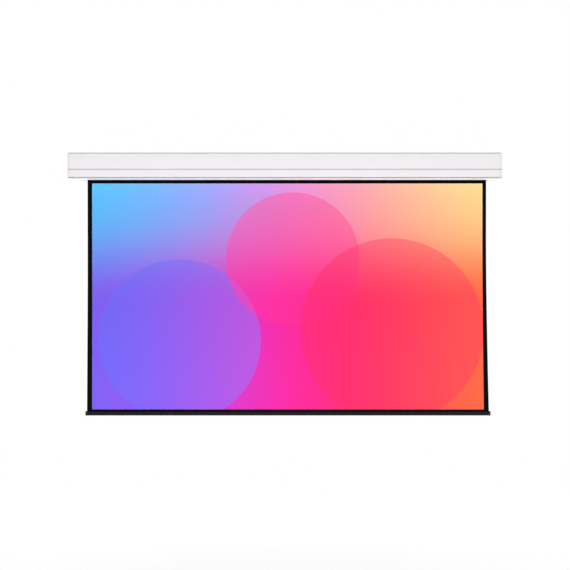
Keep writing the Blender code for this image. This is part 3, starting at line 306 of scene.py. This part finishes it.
# Screen sheet
# Coated vinyl cloth, black behind, with a printed picture inside black borders on its matt white front.
# Its top turns onto the roller, and the rod in its hem is held in the weight bar's slot.
SHEET_THICKNESS = 0.0006
BORDER_LEFT = 0.0255
BORDER_RIGHT = 0.0208
BORDER_BOTTOM = 0.010
PICTURE_TOP = 1.288             # above the weight bar
FLARE_LEFT = 0.003              # how far each line of the cloth swings out at the hem
FLARE_PICTURE = 0.008
FLARE_RIGHT = 0.0155
FLARE_POWER = 1.6
WAIST = 0.72                    # height of the waist as a share of the drop
WAVE_DEPTH = 0.0012             # slow waves across the free cloth, all on the side away from the roller
WAVE_LENGTH = 0.62
WAVE_LEAN = 0.35                # how far a wave moves sideways from the hem to the top, in wavelengths
OFF_TURNS = 0.00065             # the top hangs clear of the turns' high side, whichever way the roller stands
CURL_DEPTH = 0.0035             # the free edges lean back
CURL_WIDTH = 0.060
BORDER_COLUMNS = 3
PICTURE_COLUMNS = 150
HEM_ROWS = 1
BORDER_ROWS = 2
PICTURE_ROWS = 96
HIDDEN_ROWS = 6                 # inside the case, above the picture

bar_low, bar_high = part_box("bottom_bar")
sheet_low, sheet_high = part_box("screen_sheet")
sheet_y = (sheet_low.y + sheet_high.y) / 2
sheet_start = sheet_low.x + FLARE_LEFT
sheet_width = sheet_high.x - sheet_low.x - FLARE_LEFT - FLARE_RIGHT
picture_end = sheet_width - BORDER_RIGHT
drop = sheet_high.z - bar_high.z


def between(stops, place):
    """Value at a place between stops (place, value)."""
    for (low, first), (high, second) in zip(stops, stops[1:]):
        if place <= high:
            return first + (second - first) * (place - low) / (high - low)
    return stops[-1][1]


def sheet_point(across, up):
    """Place of the cloth's point that lies so far from its left edge and above the weight bar."""
    share = max(up, 0.0) / drop
    flare = (1.0 - share / WAIST) ** FLARE_POWER if share < WAIST else 0.0
    swing = between([(0.0, -FLARE_LEFT), (BORDER_LEFT, 0.0), (picture_end, FLARE_PICTURE),
                     (sheet_width, FLARE_RIGHT)], across)
    free = math.sin(math.pi * share) ** 2
    wave = WAVE_DEPTH * (1.0 + math.sin(2 * math.pi * (across / WAVE_LENGTH + WAVE_LEAN * share)))
    curl = CURL_DEPTH * math.exp(-min(across, sheet_width - across) / CURL_WIDTH)
    behind = free * (wave + curl) + OFF_TURNS * share
    return sheet_start + across + swing * flare, sheet_y + behind, bar_high.z + up


def steps(start, end, count):
    """Even places from start up to but not at end."""
    return [start + (end - start) * step / count for step in range(count)]


columns = steps(0.0, BORDER_LEFT, BORDER_COLUMNS) + steps(BORDER_LEFT, picture_end, PICTURE_COLUMNS)
columns += steps(picture_end, sheet_width, BORDER_COLUMNS) + [sheet_width]
rows = steps(sheet_low.z - bar_high.z, 0.0, HEM_ROWS) + steps(0.0, BORDER_BOTTOM, BORDER_ROWS)
rows += steps(BORDER_BOTTOM, PICTURE_TOP, PICTURE_ROWS) + steps(PICTURE_TOP, drop, HIDDEN_ROWS) + [drop]
weave = bmesh.new()
flat_place = weave.loops.layers.uv.new("cloth_metres")
grid = [[weave.verts.new(sheet_point(across, up)) for across in columns] for up in rows]
for row in range(len(rows) - 1):
    for column in range(len(columns) - 1):
        corners = [(column, row), (column + 1, row), (column + 1, row + 1), (column, row + 1)]
        face = weave.faces.new([grid[j][i] for i, j in corners])
        for loop, (i, j) in zip(face.loops, corners):
            loop[flat_place].uv = (columns[i], rows[j])
cloth = bpy.data.meshes.new("screen_cloth")
weave.to_mesh(cloth)
weave.free()
cloth.shade_smooth()
screen = bpy.data.objects.new("screen_cloth", cloth)
bpy.context.collection.objects.link(screen)

# Printed front: flat ink on matt vinyl, in broad runs of colour with three large discs, and black borders
# The runs go along the picture from left to right, the second one at its top
PRINT_RUN = ((0.00, "6F5FEA"), (0.20, "9A49D8"), (0.40, "D92FB4"), (0.58, "F71F7E"), (0.78, "FF3B55"),
             (1.00, "FF6A3A"))
TOP_RUN = ((0.00, "4FC3FA"), (0.28, "8AA2F6"), (0.50, "D98AD6"), (0.72, "FF9A9C"), (1.00, "FFDE8C"))
TOP_RUN_START = 0.55            # above the bar
# Each disc's centre, from the cloth's left edge and above the bar, its radius and its colour
DISCS = (((0.52, 0.40), 0.46, "5E6CF2"), ((1.16, 0.86), 0.38, "FF2F8E"), ((1.72, 0.46), 0.52, "FF2A5C"))
DISC_STRENGTH = 0.45
DISC_EDGE = 0.004
BORDER_INK = "020203"
INK_ROUGHNESS = 0.65
INK_SHEEN = 0.04
WEAVE_MM = 1.1                  # threads are about 0.4 mm; drawn as coarse as they need to show
WEAVE_RELIEF_MM = 0.02
WEAVE_STRENGTH = 0.5
printed = bpy.data.materials.new("printed_matt_vinyl")
printed.use_nodes = True
ink_tree = printed.node_tree
ink_surface = ink_tree.nodes["Principled BSDF"]
ink_surface.inputs["Roughness"].default_value = INK_ROUGHNESS
ink_surface.inputs["Specular IOR Level"].default_value = INK_SHEEN
flat = add_node(ink_tree, "ShaderNodeUVMap", {"uv_map": "cloth_metres"})
split = add_node(ink_tree, "ShaderNodeSeparateXYZ", inputs={0: flat.outputs[0]})
along = add_node(ink_tree, "ShaderNodeMapRange",
                 inputs={"Value": split.outputs[0], "From Min": BORDER_LEFT, "From Max": picture_end})
rise = add_node(ink_tree, "ShaderNodeMapRange", {"interpolation_type": "SMOOTHERSTEP"},
                {"Value": split.outputs[1], "From Min": TOP_RUN_START, "From Max": PICTURE_TOP})
runs = []
for stops in (PRINT_RUN, TOP_RUN):
    run = add_node(ink_tree, "ShaderNodeValToRGB", inputs={0: along.outputs[0]})
    run.color_ramp.interpolation = "B_SPLINE"
    for place, _ in stops[1:-1]:
        run.color_ramp.elements.new(place)
    for element, (place, colour) in zip(run.color_ramp.elements, stops):
        element.position = place
        element.color = linear(colour)
    runs.append(run.outputs[0])
ink = add_node(ink_tree, "ShaderNodeMix", {"data_type": "RGBA"},
               {0: rise.outputs[0], COLOUR_A: runs[0], COLOUR_B: runs[1]})
for centre, radius, colour in DISCS:
    gap = add_node(ink_tree, "ShaderNodeVectorMath", {"operation": "DISTANCE"},
                   {0: flat.outputs[0], 1: (*centre, 0.0)})
    inside = add_node(ink_tree, "ShaderNodeMapRange",
                      inputs={"Value": gap.outputs["Value"], "From Min": radius,
                              "From Max": radius - DISC_EDGE, "To Max": DISC_STRENGTH})
    ink = add_node(ink_tree, "ShaderNodeMix", {"data_type": "RGBA"},
                   {0: inside.outputs[0], COLOUR_A: ink.outputs[COLOUR_OUT], COLOUR_B: linear(colour)})
pictured = None
for value, edge, operation in ((split.outputs[0], BORDER_LEFT, "GREATER_THAN"),
                               (split.outputs[0], picture_end, "LESS_THAN"),
                               (split.outputs[1], BORDER_BOTTOM, "GREATER_THAN"),
                               (split.outputs[1], PICTURE_TOP, "LESS_THAN")):
    test = add_node(ink_tree, "ShaderNodeMath", {"operation": operation}, {0: value, 1: edge})
    pictured = test if pictured is None else add_node(ink_tree, "ShaderNodeMath", {"operation": "MULTIPLY"},
                                                      {0: pictured.outputs[0], 1: test.outputs[0]})
front = add_node(ink_tree, "ShaderNodeMix", {"data_type": "RGBA"},
                 {0: pictured.outputs[0], COLOUR_A: linear(BORDER_INK), COLOUR_B: ink.outputs[COLOUR_OUT]})
threads = add_node(ink_tree, "ShaderNodeTexChecker",
                   inputs={"Vector": flat.outputs[0], "Scale": 1000 / WEAVE_MM})
relief = add_node(ink_tree, "ShaderNodeBump",
                  inputs={"Height": threads.outputs["Fac"], "Distance": WEAVE_RELIEF_MM / 1000,
                          "Strength": WEAVE_STRENGTH})
ink_tree.links.new(front.outputs[COLOUR_OUT], ink_surface.inputs["Base Color"])
ink_tree.links.new(relief.outputs[0], ink_surface.inputs["Normal"])
cloth.materials.append(printed)
cloth.materials.append(vinyl_back)
solid = screen.modifiers.new("thickness", "SOLIDIFY")
solid.thickness = SHEET_THICKNESS
solid.offset = 0.0
solid.material_offset = 1
solid.material_offset_rim = 1
applied(screen)
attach(screen, "casing")
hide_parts("screen_sheet")
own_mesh(screen)

# Weight bar
# Aluminium extrusion, anodised black, with lips along its top that hold the rod in the sheet's hem.
# A moulded cap closes each end.
BAR_WALL = 0.0016
BAR_TOP_RADIUS = 0.004
BAR_FOOT_RADIUS = 0.009
BAR_SLOT = 0.0032
BAR_LIP = 0.003
BAR_CORNER_STEPS = 7
BAR_EDGE_MM = 0.25
ANODISED_SHADE = "0C0C0E"
ANODISED_LIGHT = "151518"
ANODISED_ROUGHNESS = (0.30, 0.42)
ANODISED_METAL = 0.6            # the dyed oxide hides part of the metal
ANODISED_SHEEN = 0.15
BAR_LINE_MM = 0.5
BAR_RELIEF_MM = 0.003


def sized_tree(name, sizes):
    """Geometry Nodes tree with a named input for each size and one for the finish, and its input node."""
    tree = bpy.data.node_groups.new(name, "GeometryNodeTree")
    tree.interface.new_socket("Geometry", in_out="OUTPUT", socket_type="NodeSocketGeometry")
    for size in sizes:
        tree.interface.new_socket(size, in_out="INPUT", socket_type="NodeSocketFloat")
    tree.interface.new_socket("Finish", in_out="INPUT", socket_type="NodeSocketMaterial")
    return tree, add_node(tree, "NodeGroupInput").outputs


def finished(tree, inputs, geometry):
    """Close a tree: its instances made real and its finish given."""
    real = add_node(tree, "GeometryNodeRealizeInstances", inputs={0: geometry})
    smooth = add_node(tree, "GeometryNodeSetShadeSmooth", inputs={0: real.outputs[0]})
    coated = add_node(tree, "GeometryNodeSetMaterial",
                      inputs={0: smooth.outputs[0], "Material": inputs["Finish"]})
    add_node(tree, "NodeGroupOutput", inputs={0: coated.outputs[0]})


def grown(name, tree, sizes, finish):
    """Object that a tree makes at these sizes."""
    piece = bpy.data.objects.new(name, bpy.data.meshes.new(name))
    bpy.context.collection.objects.link(piece)
    maker = piece.modifiers.new(tree.name, "NODES")
    maker.node_group = tree
    values = {**sizes, "Finish": finish}
    for socket in tree.interface.items_tree:
        if socket.in_out == "INPUT":
            maker[socket.identifier] = values[socket.name]
    return piece


bar_sizes = {"Start": bar_low.x, "Length": bar_high.x - bar_low.x, "Middle": (bar_low.y + bar_high.y) / 2,
             "Top": bar_high.z, "Height": bar_high.z - bar_low.z, "Depth": bar_high.y - bar_low.y,
             "Slot": BAR_SLOT, "Lip": BAR_LIP, "Top radius": BAR_TOP_RADIUS, "Foot radius": BAR_FOOT_RADIUS}
bar_tree, size = sized_tree("slotted_extrusion", bar_sizes)
half_slot, half_depth, lip_z, foot_z = [
    add_node(bar_tree, "ShaderNodeMath", {"operation": "MULTIPLY"}, {0: size[name], 1: share}).outputs[0]
    for name, share in (("Slot", 0.5), ("Depth", 0.5), ("Lip", -1.0), ("Height", -1.0))]
# Half of the open section: the lip's tip and root, the top and foot corners, and the middle of the foot
corners = [add_node(bar_tree, "ShaderNodeCombineXYZ", inputs=place).outputs[0]
           for place in ({"Y": half_slot, "Z": lip_z}, {"Y": half_slot}, {"Y": half_depth},
                         {"Y": half_depth, "Z": foot_z}, {"Z": foot_z})]
radii = (None, None, size["Top radius"], size["Foot radius"], None)        # None is a sharp corner
number = add_node(bar_tree, "GeometryNodeInputIndex").outputs[0]
chosen = []
for kind, values in (("VECTOR", corners), ("FLOAT", radii)):
    choice = add_node(bar_tree, "GeometryNodeIndexSwitch", {"data_type": kind}, {"Index": number})
    for place, value in enumerate(values):
        if place > 1:                   # a new switch has two items
            choice.index_switch_items.new()
        if value is not None:
            bar_tree.links.new(value, choice.inputs[str(place)])
    chosen.append(choice.outputs[0])
line = add_node(bar_tree, "GeometryNodeMeshLine", inputs={"Count": len(corners)})
section = add_node(bar_tree, "GeometryNodeSetPosition", inputs={0: line.outputs[0], "Position": chosen[0]})
section = add_node(bar_tree, "GeometryNodeMeshToCurve", inputs={0: section.outputs[0]})
section = add_node(bar_tree, "GeometryNodeFilletCurve", {"mode": "POLY"},
                   {0: section.outputs[0], "Count": BAR_CORNER_STEPS, "Radius": chosen[1]})
section = add_node(bar_tree, "GeometryNodeCurveToMesh", inputs={0: section.outputs[0]})
length = add_node(bar_tree, "ShaderNodeCombineXYZ", inputs={"X": size["Length"]})
half = add_node(bar_tree, "GeometryNodeExtrudeMesh", {"mode": "EDGES"},
                {0: section.outputs[0], "Offset": length.outputs[0]})
other = add_node(bar_tree, "GeometryNodeTransform", inputs={0: half.outputs[0], "Scale": (1.0, -1.0, 1.0)})
other = add_node(bar_tree, "GeometryNodeFlipFaces", inputs={0: other.outputs[0]})
whole = add_node(bar_tree, "GeometryNodeJoinGeometry")
for part in (half, other):
    bar_tree.links.new(part.outputs[0], whole.inputs[0])
whole = add_node(bar_tree, "GeometryNodeMergeByDistance", inputs={0: whole.outputs[0], "Distance": JOINED})
place = add_node(bar_tree, "ShaderNodeCombineXYZ",
                 inputs={"X": size["Start"], "Y": size["Middle"], "Z": size["Top"]})
whole = add_node(bar_tree, "GeometryNodeTransform",
                 inputs={0: whole.outputs[0], "Translation": place.outputs[0]})
finished(bar_tree, size, whole.outputs[0])

# Black anodised aluminium: near-black metal with a low sheen along its die lines
black_anodised = grained("black_anodised_aluminium", (ANODISED_SHADE, ANODISED_LIGHT), BAR_LINE_MM,
                         ANODISED_ROUGHNESS, BAR_RELIEF_MM, metallic=ANODISED_METAL,
                         stretch=DRAWN_LENGTHWAYS, sheen=ANODISED_SHEEN)
bar = grown("weight_bar_extrusion", bar_tree, bar_sizes, black_anodised)
wall = bar.modifiers.new("wall", "SOLIDIFY")
wall.thickness = BAR_WALL
wall.offset = -1.0
wall.use_even_offset = True
edged(bar, BAR_EDGE_MM)
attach(bar, "weight_bar")
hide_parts("bottom_bar")
for side in ("left", "right"):
    dressed(f"bar_cap_{side}", black_nylon, "weight_bar", PRESSED_EDGE_MM)
dressed("hem_rod", zinc, "weight_bar", SMALL_EDGE_MM)

# Lower face
# A second extrusion in the same coat, clipped over the shell's flange and turned under to the sheet's slot.
# It comes off to reach the roller. The seam above it is the joint of the two faces.
# Greys of a painted shade on the lower groove's floor and on the covers' groove floors
GROOVE_PAINTED_SHADE_DARK = "BAB6BA"
GROOVE_PAINTED_SHADE_LIGHT = "C2BEC2"

# The powder on the lower groove's floor, in a painted shade: it reads as a clear grey line
lower_groove_shade = grained("lower_groove_painted_shade", (GROOVE_PAINTED_SHADE_DARK, GROOVE_PAINTED_SHADE_LIGHT), COAT_GRAIN_MM, GROOVE_FLOOR_ROUGHNESS,
                    COAT_RIPPLE_MM, sheen=COAT_SHEEN)
lower_face = dressed("lower_fascia", powder_coat, "casing", COATED_EDGE_MM)
recoated(lower_face, lower_groove_shade)

# End covers
# Moulded ABS in the coat's white, with a fine spark-eroded texture from the mould.
# Each closes one end, over the steel plate, and carries both grooves round its front edge, their floors in
# painted shade.
ABS_SHADE = "EEEBED"
ABS_LIGHT = "F2F0F1"
ABS_ROUGHNESS = (0.42, 0.50)
SEAM_HEIGHTS = (-0.0225, -0.0175)       # foot and head of the joint of the two faces
LOWER_HEIGHTS = (-0.0695, -0.0625)      # and of the groove below it
GROOVE_REACH = 0.006            # how far back they run round a cover
UPRIGHT = 0.5                   # a face stands up where its normal's Z is less

# Moulded ABS: the coat's white, a little duller
white_abs = grained("moulded_white_abs", (ABS_SHADE, ABS_LIGHT), MOULD_GRAIN_MM, ABS_ROUGHNESS,
                    MOULD_RELIEF_MM)
# The same plastic on the grooves' floors, greyed by a painted shade: the grey of the lines that they carry on
painted_shade_abs = grained("painted_shade_abs", (GROOVE_PAINTED_SHADE_DARK, GROOVE_PAINTED_SHADE_LIGHT), MOULD_GRAIN_MM, ABS_ROUGHNESS, MOULD_RELIEF_MM)
for side in ("left", "right"):
    cover = dressed(f"end_cap_{side}", white_abs, "casing", MOULDED_EDGE_MM)
    cover.data.materials.append(painted_shade_abs)
    # Faces on the floors of both grooves round the cover take the painted shade
    for face in cover.data.polygons:
        takes_painted_shade = any(foot < face.center.z < head for foot, head in (SEAM_HEIGHTS, LOWER_HEIGHTS))
        behind = face.center.y - cad_bounds[0].y
        if takes_painted_shade and behind < GROOVE_REACH and abs(face.normal.z) < UPRIGHT:
            face.material_index = 1

# Cover screws
# Self-tapping steel screws, zinc plated, with a cross recess in a low round head.
# Four at each end go through the cover and the plate into the open ports of the extrusions.
HEAD_RADIUS = 0.0036
HEAD_HEIGHT = 0.0022
HEAD_CROWN = 0.0007
SHANK_RADIUS = 0.0017
RECESS_WIDTH = 0.0008
RECESS_SPAN = 0.0038
RECESS_DEPTH = 0.0011
HEAD_SIDES = 24
SHANK_SIDES = 16

rear_low, rear_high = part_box("cap_screw_right_1")
front_low, front_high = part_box("cap_screw_right_3")
rear_middle, front_middle = (rear_low + rear_high) / 2, (front_low + front_high) / 2
screw_sizes = {"Head radius": HEAD_RADIUS, "Head height": HEAD_HEIGHT, "Top radius": HEAD_RADIUS - HEAD_CROWN,
               "Shank radius": SHANK_RADIUS, "Shank length": rear_high.x - rear_low.x - HEAD_HEIGHT,
               "Recess width": RECESS_WIDTH, "Recess span": RECESS_SPAN, "Recess depth": RECESS_DEPTH,
               "Spacing deep": rear_middle.y - front_middle.y, "Spacing high": front_middle.z - rear_middle.z,
               "Middle deep": (rear_middle.y + front_middle.y) / 2,
               "Middle high": (rear_middle.z + front_middle.z) / 2, "Seat": rear_high.x - HEAD_HEIGHT}
screw_tree, size = sized_tree("cross_recess_screws", screw_sizes)
head = add_node(screw_tree, "GeometryNodeMeshCone",
                inputs={"Vertices": HEAD_SIDES, "Radius Bottom": size["Head radius"],
                        "Radius Top": size["Top radius"], "Depth": size["Head height"]})
shank = add_node(screw_tree, "GeometryNodeMeshCylinder",
                 inputs={"Vertices": SHANK_SIDES, "Radius": size["Shank radius"],
                         "Depth": size["Shank length"]})
sunk = add_node(screw_tree, "ShaderNodeMath", {"operation": "MULTIPLY"}, {0: size["Shank length"], 1: -0.5})
sunk = add_node(screw_tree, "ShaderNodeCombineXYZ", inputs={"Z": sunk.outputs[0]})
shank = add_node(screw_tree, "GeometryNodeTransform",
                 inputs={0: shank.outputs[0], "Translation": sunk.outputs[0]})
screw = add_node(screw_tree, "GeometryNodeMeshBoolean", {"operation": "UNION", "solver": "EXACT"})
for part in (head, shank):
    screw_tree.links.new(part.outputs[0], screw.inputs["Mesh 2"])
# The cross is cut by two bars that stand as far out of the head as they reach into it
deep = add_node(screw_tree, "ShaderNodeMath", {"operation": "MULTIPLY"}, {0: size["Recess depth"], 1: 2.0})
top = add_node(screw_tree, "ShaderNodeCombineXYZ", inputs={"Z": size["Head height"]})
recessed = add_node(screw_tree, "GeometryNodeMeshBoolean", {"operation": "DIFFERENCE", "solver": "EXACT"},
                    {"Mesh 1": screw.outputs[0]})
for wide, long in (("Recess width", "Recess span"), ("Recess span", "Recess width")):
    reach = add_node(screw_tree, "ShaderNodeCombineXYZ",
                     inputs={"X": size[wide], "Y": size[long], "Z": deep.outputs[0]})
    cut = add_node(screw_tree, "GeometryNodeMeshCube", inputs={"Size": reach.outputs[0]})
    cut = add_node(screw_tree, "GeometryNodeTransform",
                   inputs={0: cut.outputs[0], "Translation": top.outputs[0]})
    screw_tree.links.new(cut.outputs[0], recessed.inputs["Mesh 2"])
# Four ports at each end, stood upright on the cover's face, with the screws turned to point inwards
ports = add_node(screw_tree, "GeometryNodeMeshGrid",
                 inputs={"Size X": size["Spacing deep"], "Size Y": size["Spacing high"], "Vertices X": 2,
                         "Vertices Y": 2})
screws = add_node(screw_tree, "GeometryNodeJoinGeometry")
for side in (-1.0, 1.0):
    seat = add_node(screw_tree, "ShaderNodeMath", {"operation": "MULTIPLY"}, {0: size["Seat"], 1: side})
    seat = add_node(screw_tree, "ShaderNodeCombineXYZ",
                    inputs={"X": seat.outputs[0], "Y": size["Middle deep"], "Z": size["Middle high"]})
    places = add_node(screw_tree, "GeometryNodeTransform",
                      inputs={0: ports.outputs[0], "Translation": seat.outputs[0],
                              "Rotation": (math.pi / 2, 0.0, math.pi / 2)})
    driven = add_node(screw_tree, "GeometryNodeInstanceOnPoints",
                      inputs={0: places.outputs[0], "Instance": recessed.outputs[0],
                              "Rotation": (0.0, side * math.pi / 2, 0.0)})
    screw_tree.links.new(driven.outputs[0], screws.inputs[0])
finished(screw_tree, size, screws.outputs[0])
screws = grown("cover_screws", screw_tree, screw_sizes, zinc)
edged(screws, SMALL_EDGE_MM)
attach(screws, "casing")
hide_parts(*[f"cap_screw_{side}_{place}" for side in ("left", "right") for place in (1, 2, 3, 4)])

# Power inlet
# Black nylon housing that snaps into the left cover, for the plug of a mains lead.
# Three nickel-plated pins stand on the floor of its recess.
NICKEL_SHADE = "C9C4BA"
NICKEL_LIGHT = "DAD6CD"
NICKEL_ROUGHNESS = (0.16, 0.26)
PIN_SPACING = 0.007
PIN_HALF = Vector((0.0052, 0.0025, 0.0014))
PIN_ROOT = 0.003                # the recess's floor in front of the housing's back

# Nickel plate: warm bright metal
nickel = grained("nickel_plate", (NICKEL_SHADE, NICKEL_LIGHT), ZINC_SPANGLE_MM, NICKEL_ROUGHNESS,
                 ZINC_RELIEF_MM, metallic=1.0)
inlet = dressed("power_inlet", black_nylon, "casing", PRESSED_EDGE_MM)
inlet.data.materials.append(nickel)
inlet_low, inlet_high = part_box("power_inlet")
inlet_middle = (inlet_low + inlet_high) / 2
for rank in (-1, 0, 1):
    pin = Vector((inlet_high.x - PIN_ROOT - PIN_HALF.x, inlet_middle.y,
                  inlet_middle.z + rank * PIN_SPACING))
    for face in inlet.data.polygons:
        apart = face.center - pin
        if all(abs(apart[axis]) < PIN_HALF[axis] for axis in range(3)):
            face.material_index = 1

# Floor, light and camera
# A pale floor and a white room. A broad soft light lies low in front and shines up, as off a studio's floor.
# Two lights fill in from the front at the object's height, two from behind, and one from overhead.
FLOOR_COLOUR = "F3F3F3"
FLOOR_ROUGHNESS = 0.9
FLOOR_Z = -2.33
FLOOR_HALF = 9.0
FLOOR_REAR = 3.0
FLOOR_GLOW = 0.52               # lifts the floor's own shade to the backdrop's white
WHITE = (1.0, 1.0, 1.0, 1.0)
AMBIENT = 0.24
TARGET = Vector((0.0, 0.0, -0.667))     # the object's middle
KEY_PLACE = (6.0, -7.0, -0.4)
KEY_SIZE = (2.6, 2.6)
KEY_POWER = 100
LOW_PLACE = (0.0, -3.2, -2.3)
LOW_SIZE = (6.0, 5.4)
LOW_POWER = 216
TOP_PLACE = (0.0, -0.1, 2.6)
TOP_SIZE = (5.0, 2.0)
TOP_POWER = 26
BACK_PLACE = (3.0, 6.0, -0.5)
BACK_SIZE = (3.0, 3.0)
BACK_POWER = 105
CAMERA_PLACE = (0.0017, -7.447, TARGET.z)
LENS_MM = 82.5
SENSOR_MM = 36
floor_mesh = bpy.data.meshes.new("floor")
floor_mesh.from_pydata([(-FLOOR_HALF, -FLOOR_HALF, FLOOR_Z), (FLOOR_HALF, -FLOOR_HALF, FLOOR_Z),
                        (FLOOR_HALF, FLOOR_REAR, FLOOR_Z), (-FLOOR_HALF, FLOOR_REAR, FLOOR_Z)],
                       [], [(0, 1, 2, 3)])
floor = bpy.data.objects.new("floor", floor_mesh)
bpy.context.collection.objects.link(floor)
floor_paint = bpy.data.materials.new("pale_floor")
floor_paint.use_nodes = True
floor_tree = floor_paint.node_tree
floor_surface = floor_tree.nodes["Principled BSDF"]
floor_surface.inputs["Base Color"].default_value = linear(FLOOR_COLOUR)
floor_surface.inputs["Roughness"].default_value = FLOOR_ROUGHNESS
rays = add_node(floor_tree, "ShaderNodeLightPath")
seen = add_node(floor_tree, "ShaderNodeMath", {"operation": "MAXIMUM"},
                {0: rays.outputs["Is Camera Ray"], 1: rays.outputs["Is Glossy Ray"]})
glow = add_node(floor_tree, "ShaderNodeMath", {"operation": "MULTIPLY"}, {0: seen.outputs[0], 1: FLOOR_GLOW})
floor_surface.inputs["Emission Color"].default_value = WHITE
floor_tree.links.new(glow.outputs[0], floor_surface.inputs["Emission Strength"])
# From underneath the floor is clear, so that views from below show the object
side_seen = add_node(floor_tree, "ShaderNodeNewGeometry")
clear = add_node(floor_tree, "ShaderNodeBsdfTransparent")
one_sided = add_node(floor_tree, "ShaderNodeMixShader",
                     inputs={0: side_seen.outputs["Backfacing"], 1: floor_surface.outputs[0],
                             2: clear.outputs[0]})
floor_tree.links.new(one_sided.outputs[0], floor_tree.nodes["Material Output"].inputs["Surface"])
floor_mesh.materials.append(floor_paint)

scene = bpy.context.scene
studio = bpy.data.worlds.new("studio")
scene.world = studio
studio.use_nodes = True
rays = add_node(studio.node_tree, "ShaderNodeLightPath")
seen = add_node(studio.node_tree, "ShaderNodeMath", {"operation": "MAXIMUM"},
                {0: rays.outputs["Is Camera Ray"], 1: rays.outputs["Is Glossy Ray"]})
seen = add_node(studio.node_tree, "ShaderNodeMath", {"operation": "MAXIMUM"},
                {0: seen.outputs[0], 1: rays.outputs["Is Transmission Ray"]})
strength = add_node(studio.node_tree, "ShaderNodeMapRange",
                    inputs={"Value": seen.outputs[0], "To Min": AMBIENT, "To Max": 1.0})
sky = studio.node_tree.nodes["Background"]
sky.inputs["Color"].default_value = WHITE
studio.node_tree.links.new(strength.outputs[0], sky.inputs["Strength"])

mirrored = Vector((-1.0, 1.0, 1.0))
level = Vector((1.0, 1.0, 0.0))         # straight above or below a light, at the case's height
for name, place, aim, size, power in (
        ("key_left", Vector(KEY_PLACE) * mirrored, TARGET, KEY_SIZE, KEY_POWER),
        ("key_right", Vector(KEY_PLACE), TARGET, KEY_SIZE, KEY_POWER),
        ("low_light", Vector(LOW_PLACE), Vector(LOW_PLACE) * level, LOW_SIZE, LOW_POWER),
        ("top_light", Vector(TOP_PLACE), Vector(TOP_PLACE) * level, TOP_SIZE, TOP_POWER),
        ("back_left", Vector(BACK_PLACE) * mirrored, TARGET, BACK_SIZE, BACK_POWER),
        ("back_right", Vector(BACK_PLACE), TARGET, BACK_SIZE, BACK_POWER)):
    lamp = bpy.data.lights.new(name, "AREA")
    lamp.shape = "RECTANGLE"
    lamp.size, lamp.size_y = size
    lamp.energy = power
    light = bpy.data.objects.new(name, lamp)
    bpy.context.collection.objects.link(light)
    light.visible_camera = False
    light.location = place
    light.rotation_euler = (aim - place).to_track_quat("-Z", "Y").to_euler()

lens = bpy.data.cameras.new("camera")
lens.lens = LENS_MM
lens.sensor_width = SENSOR_MM
camera = bpy.data.objects.new("camera", lens)
bpy.context.collection.objects.link(camera)
camera.location = CAMERA_PLACE
camera.rotation_euler = (math.pi / 2, 0.0, 0.0)
scene.camera = camera
scene.view_settings.view_transform = "Standard"
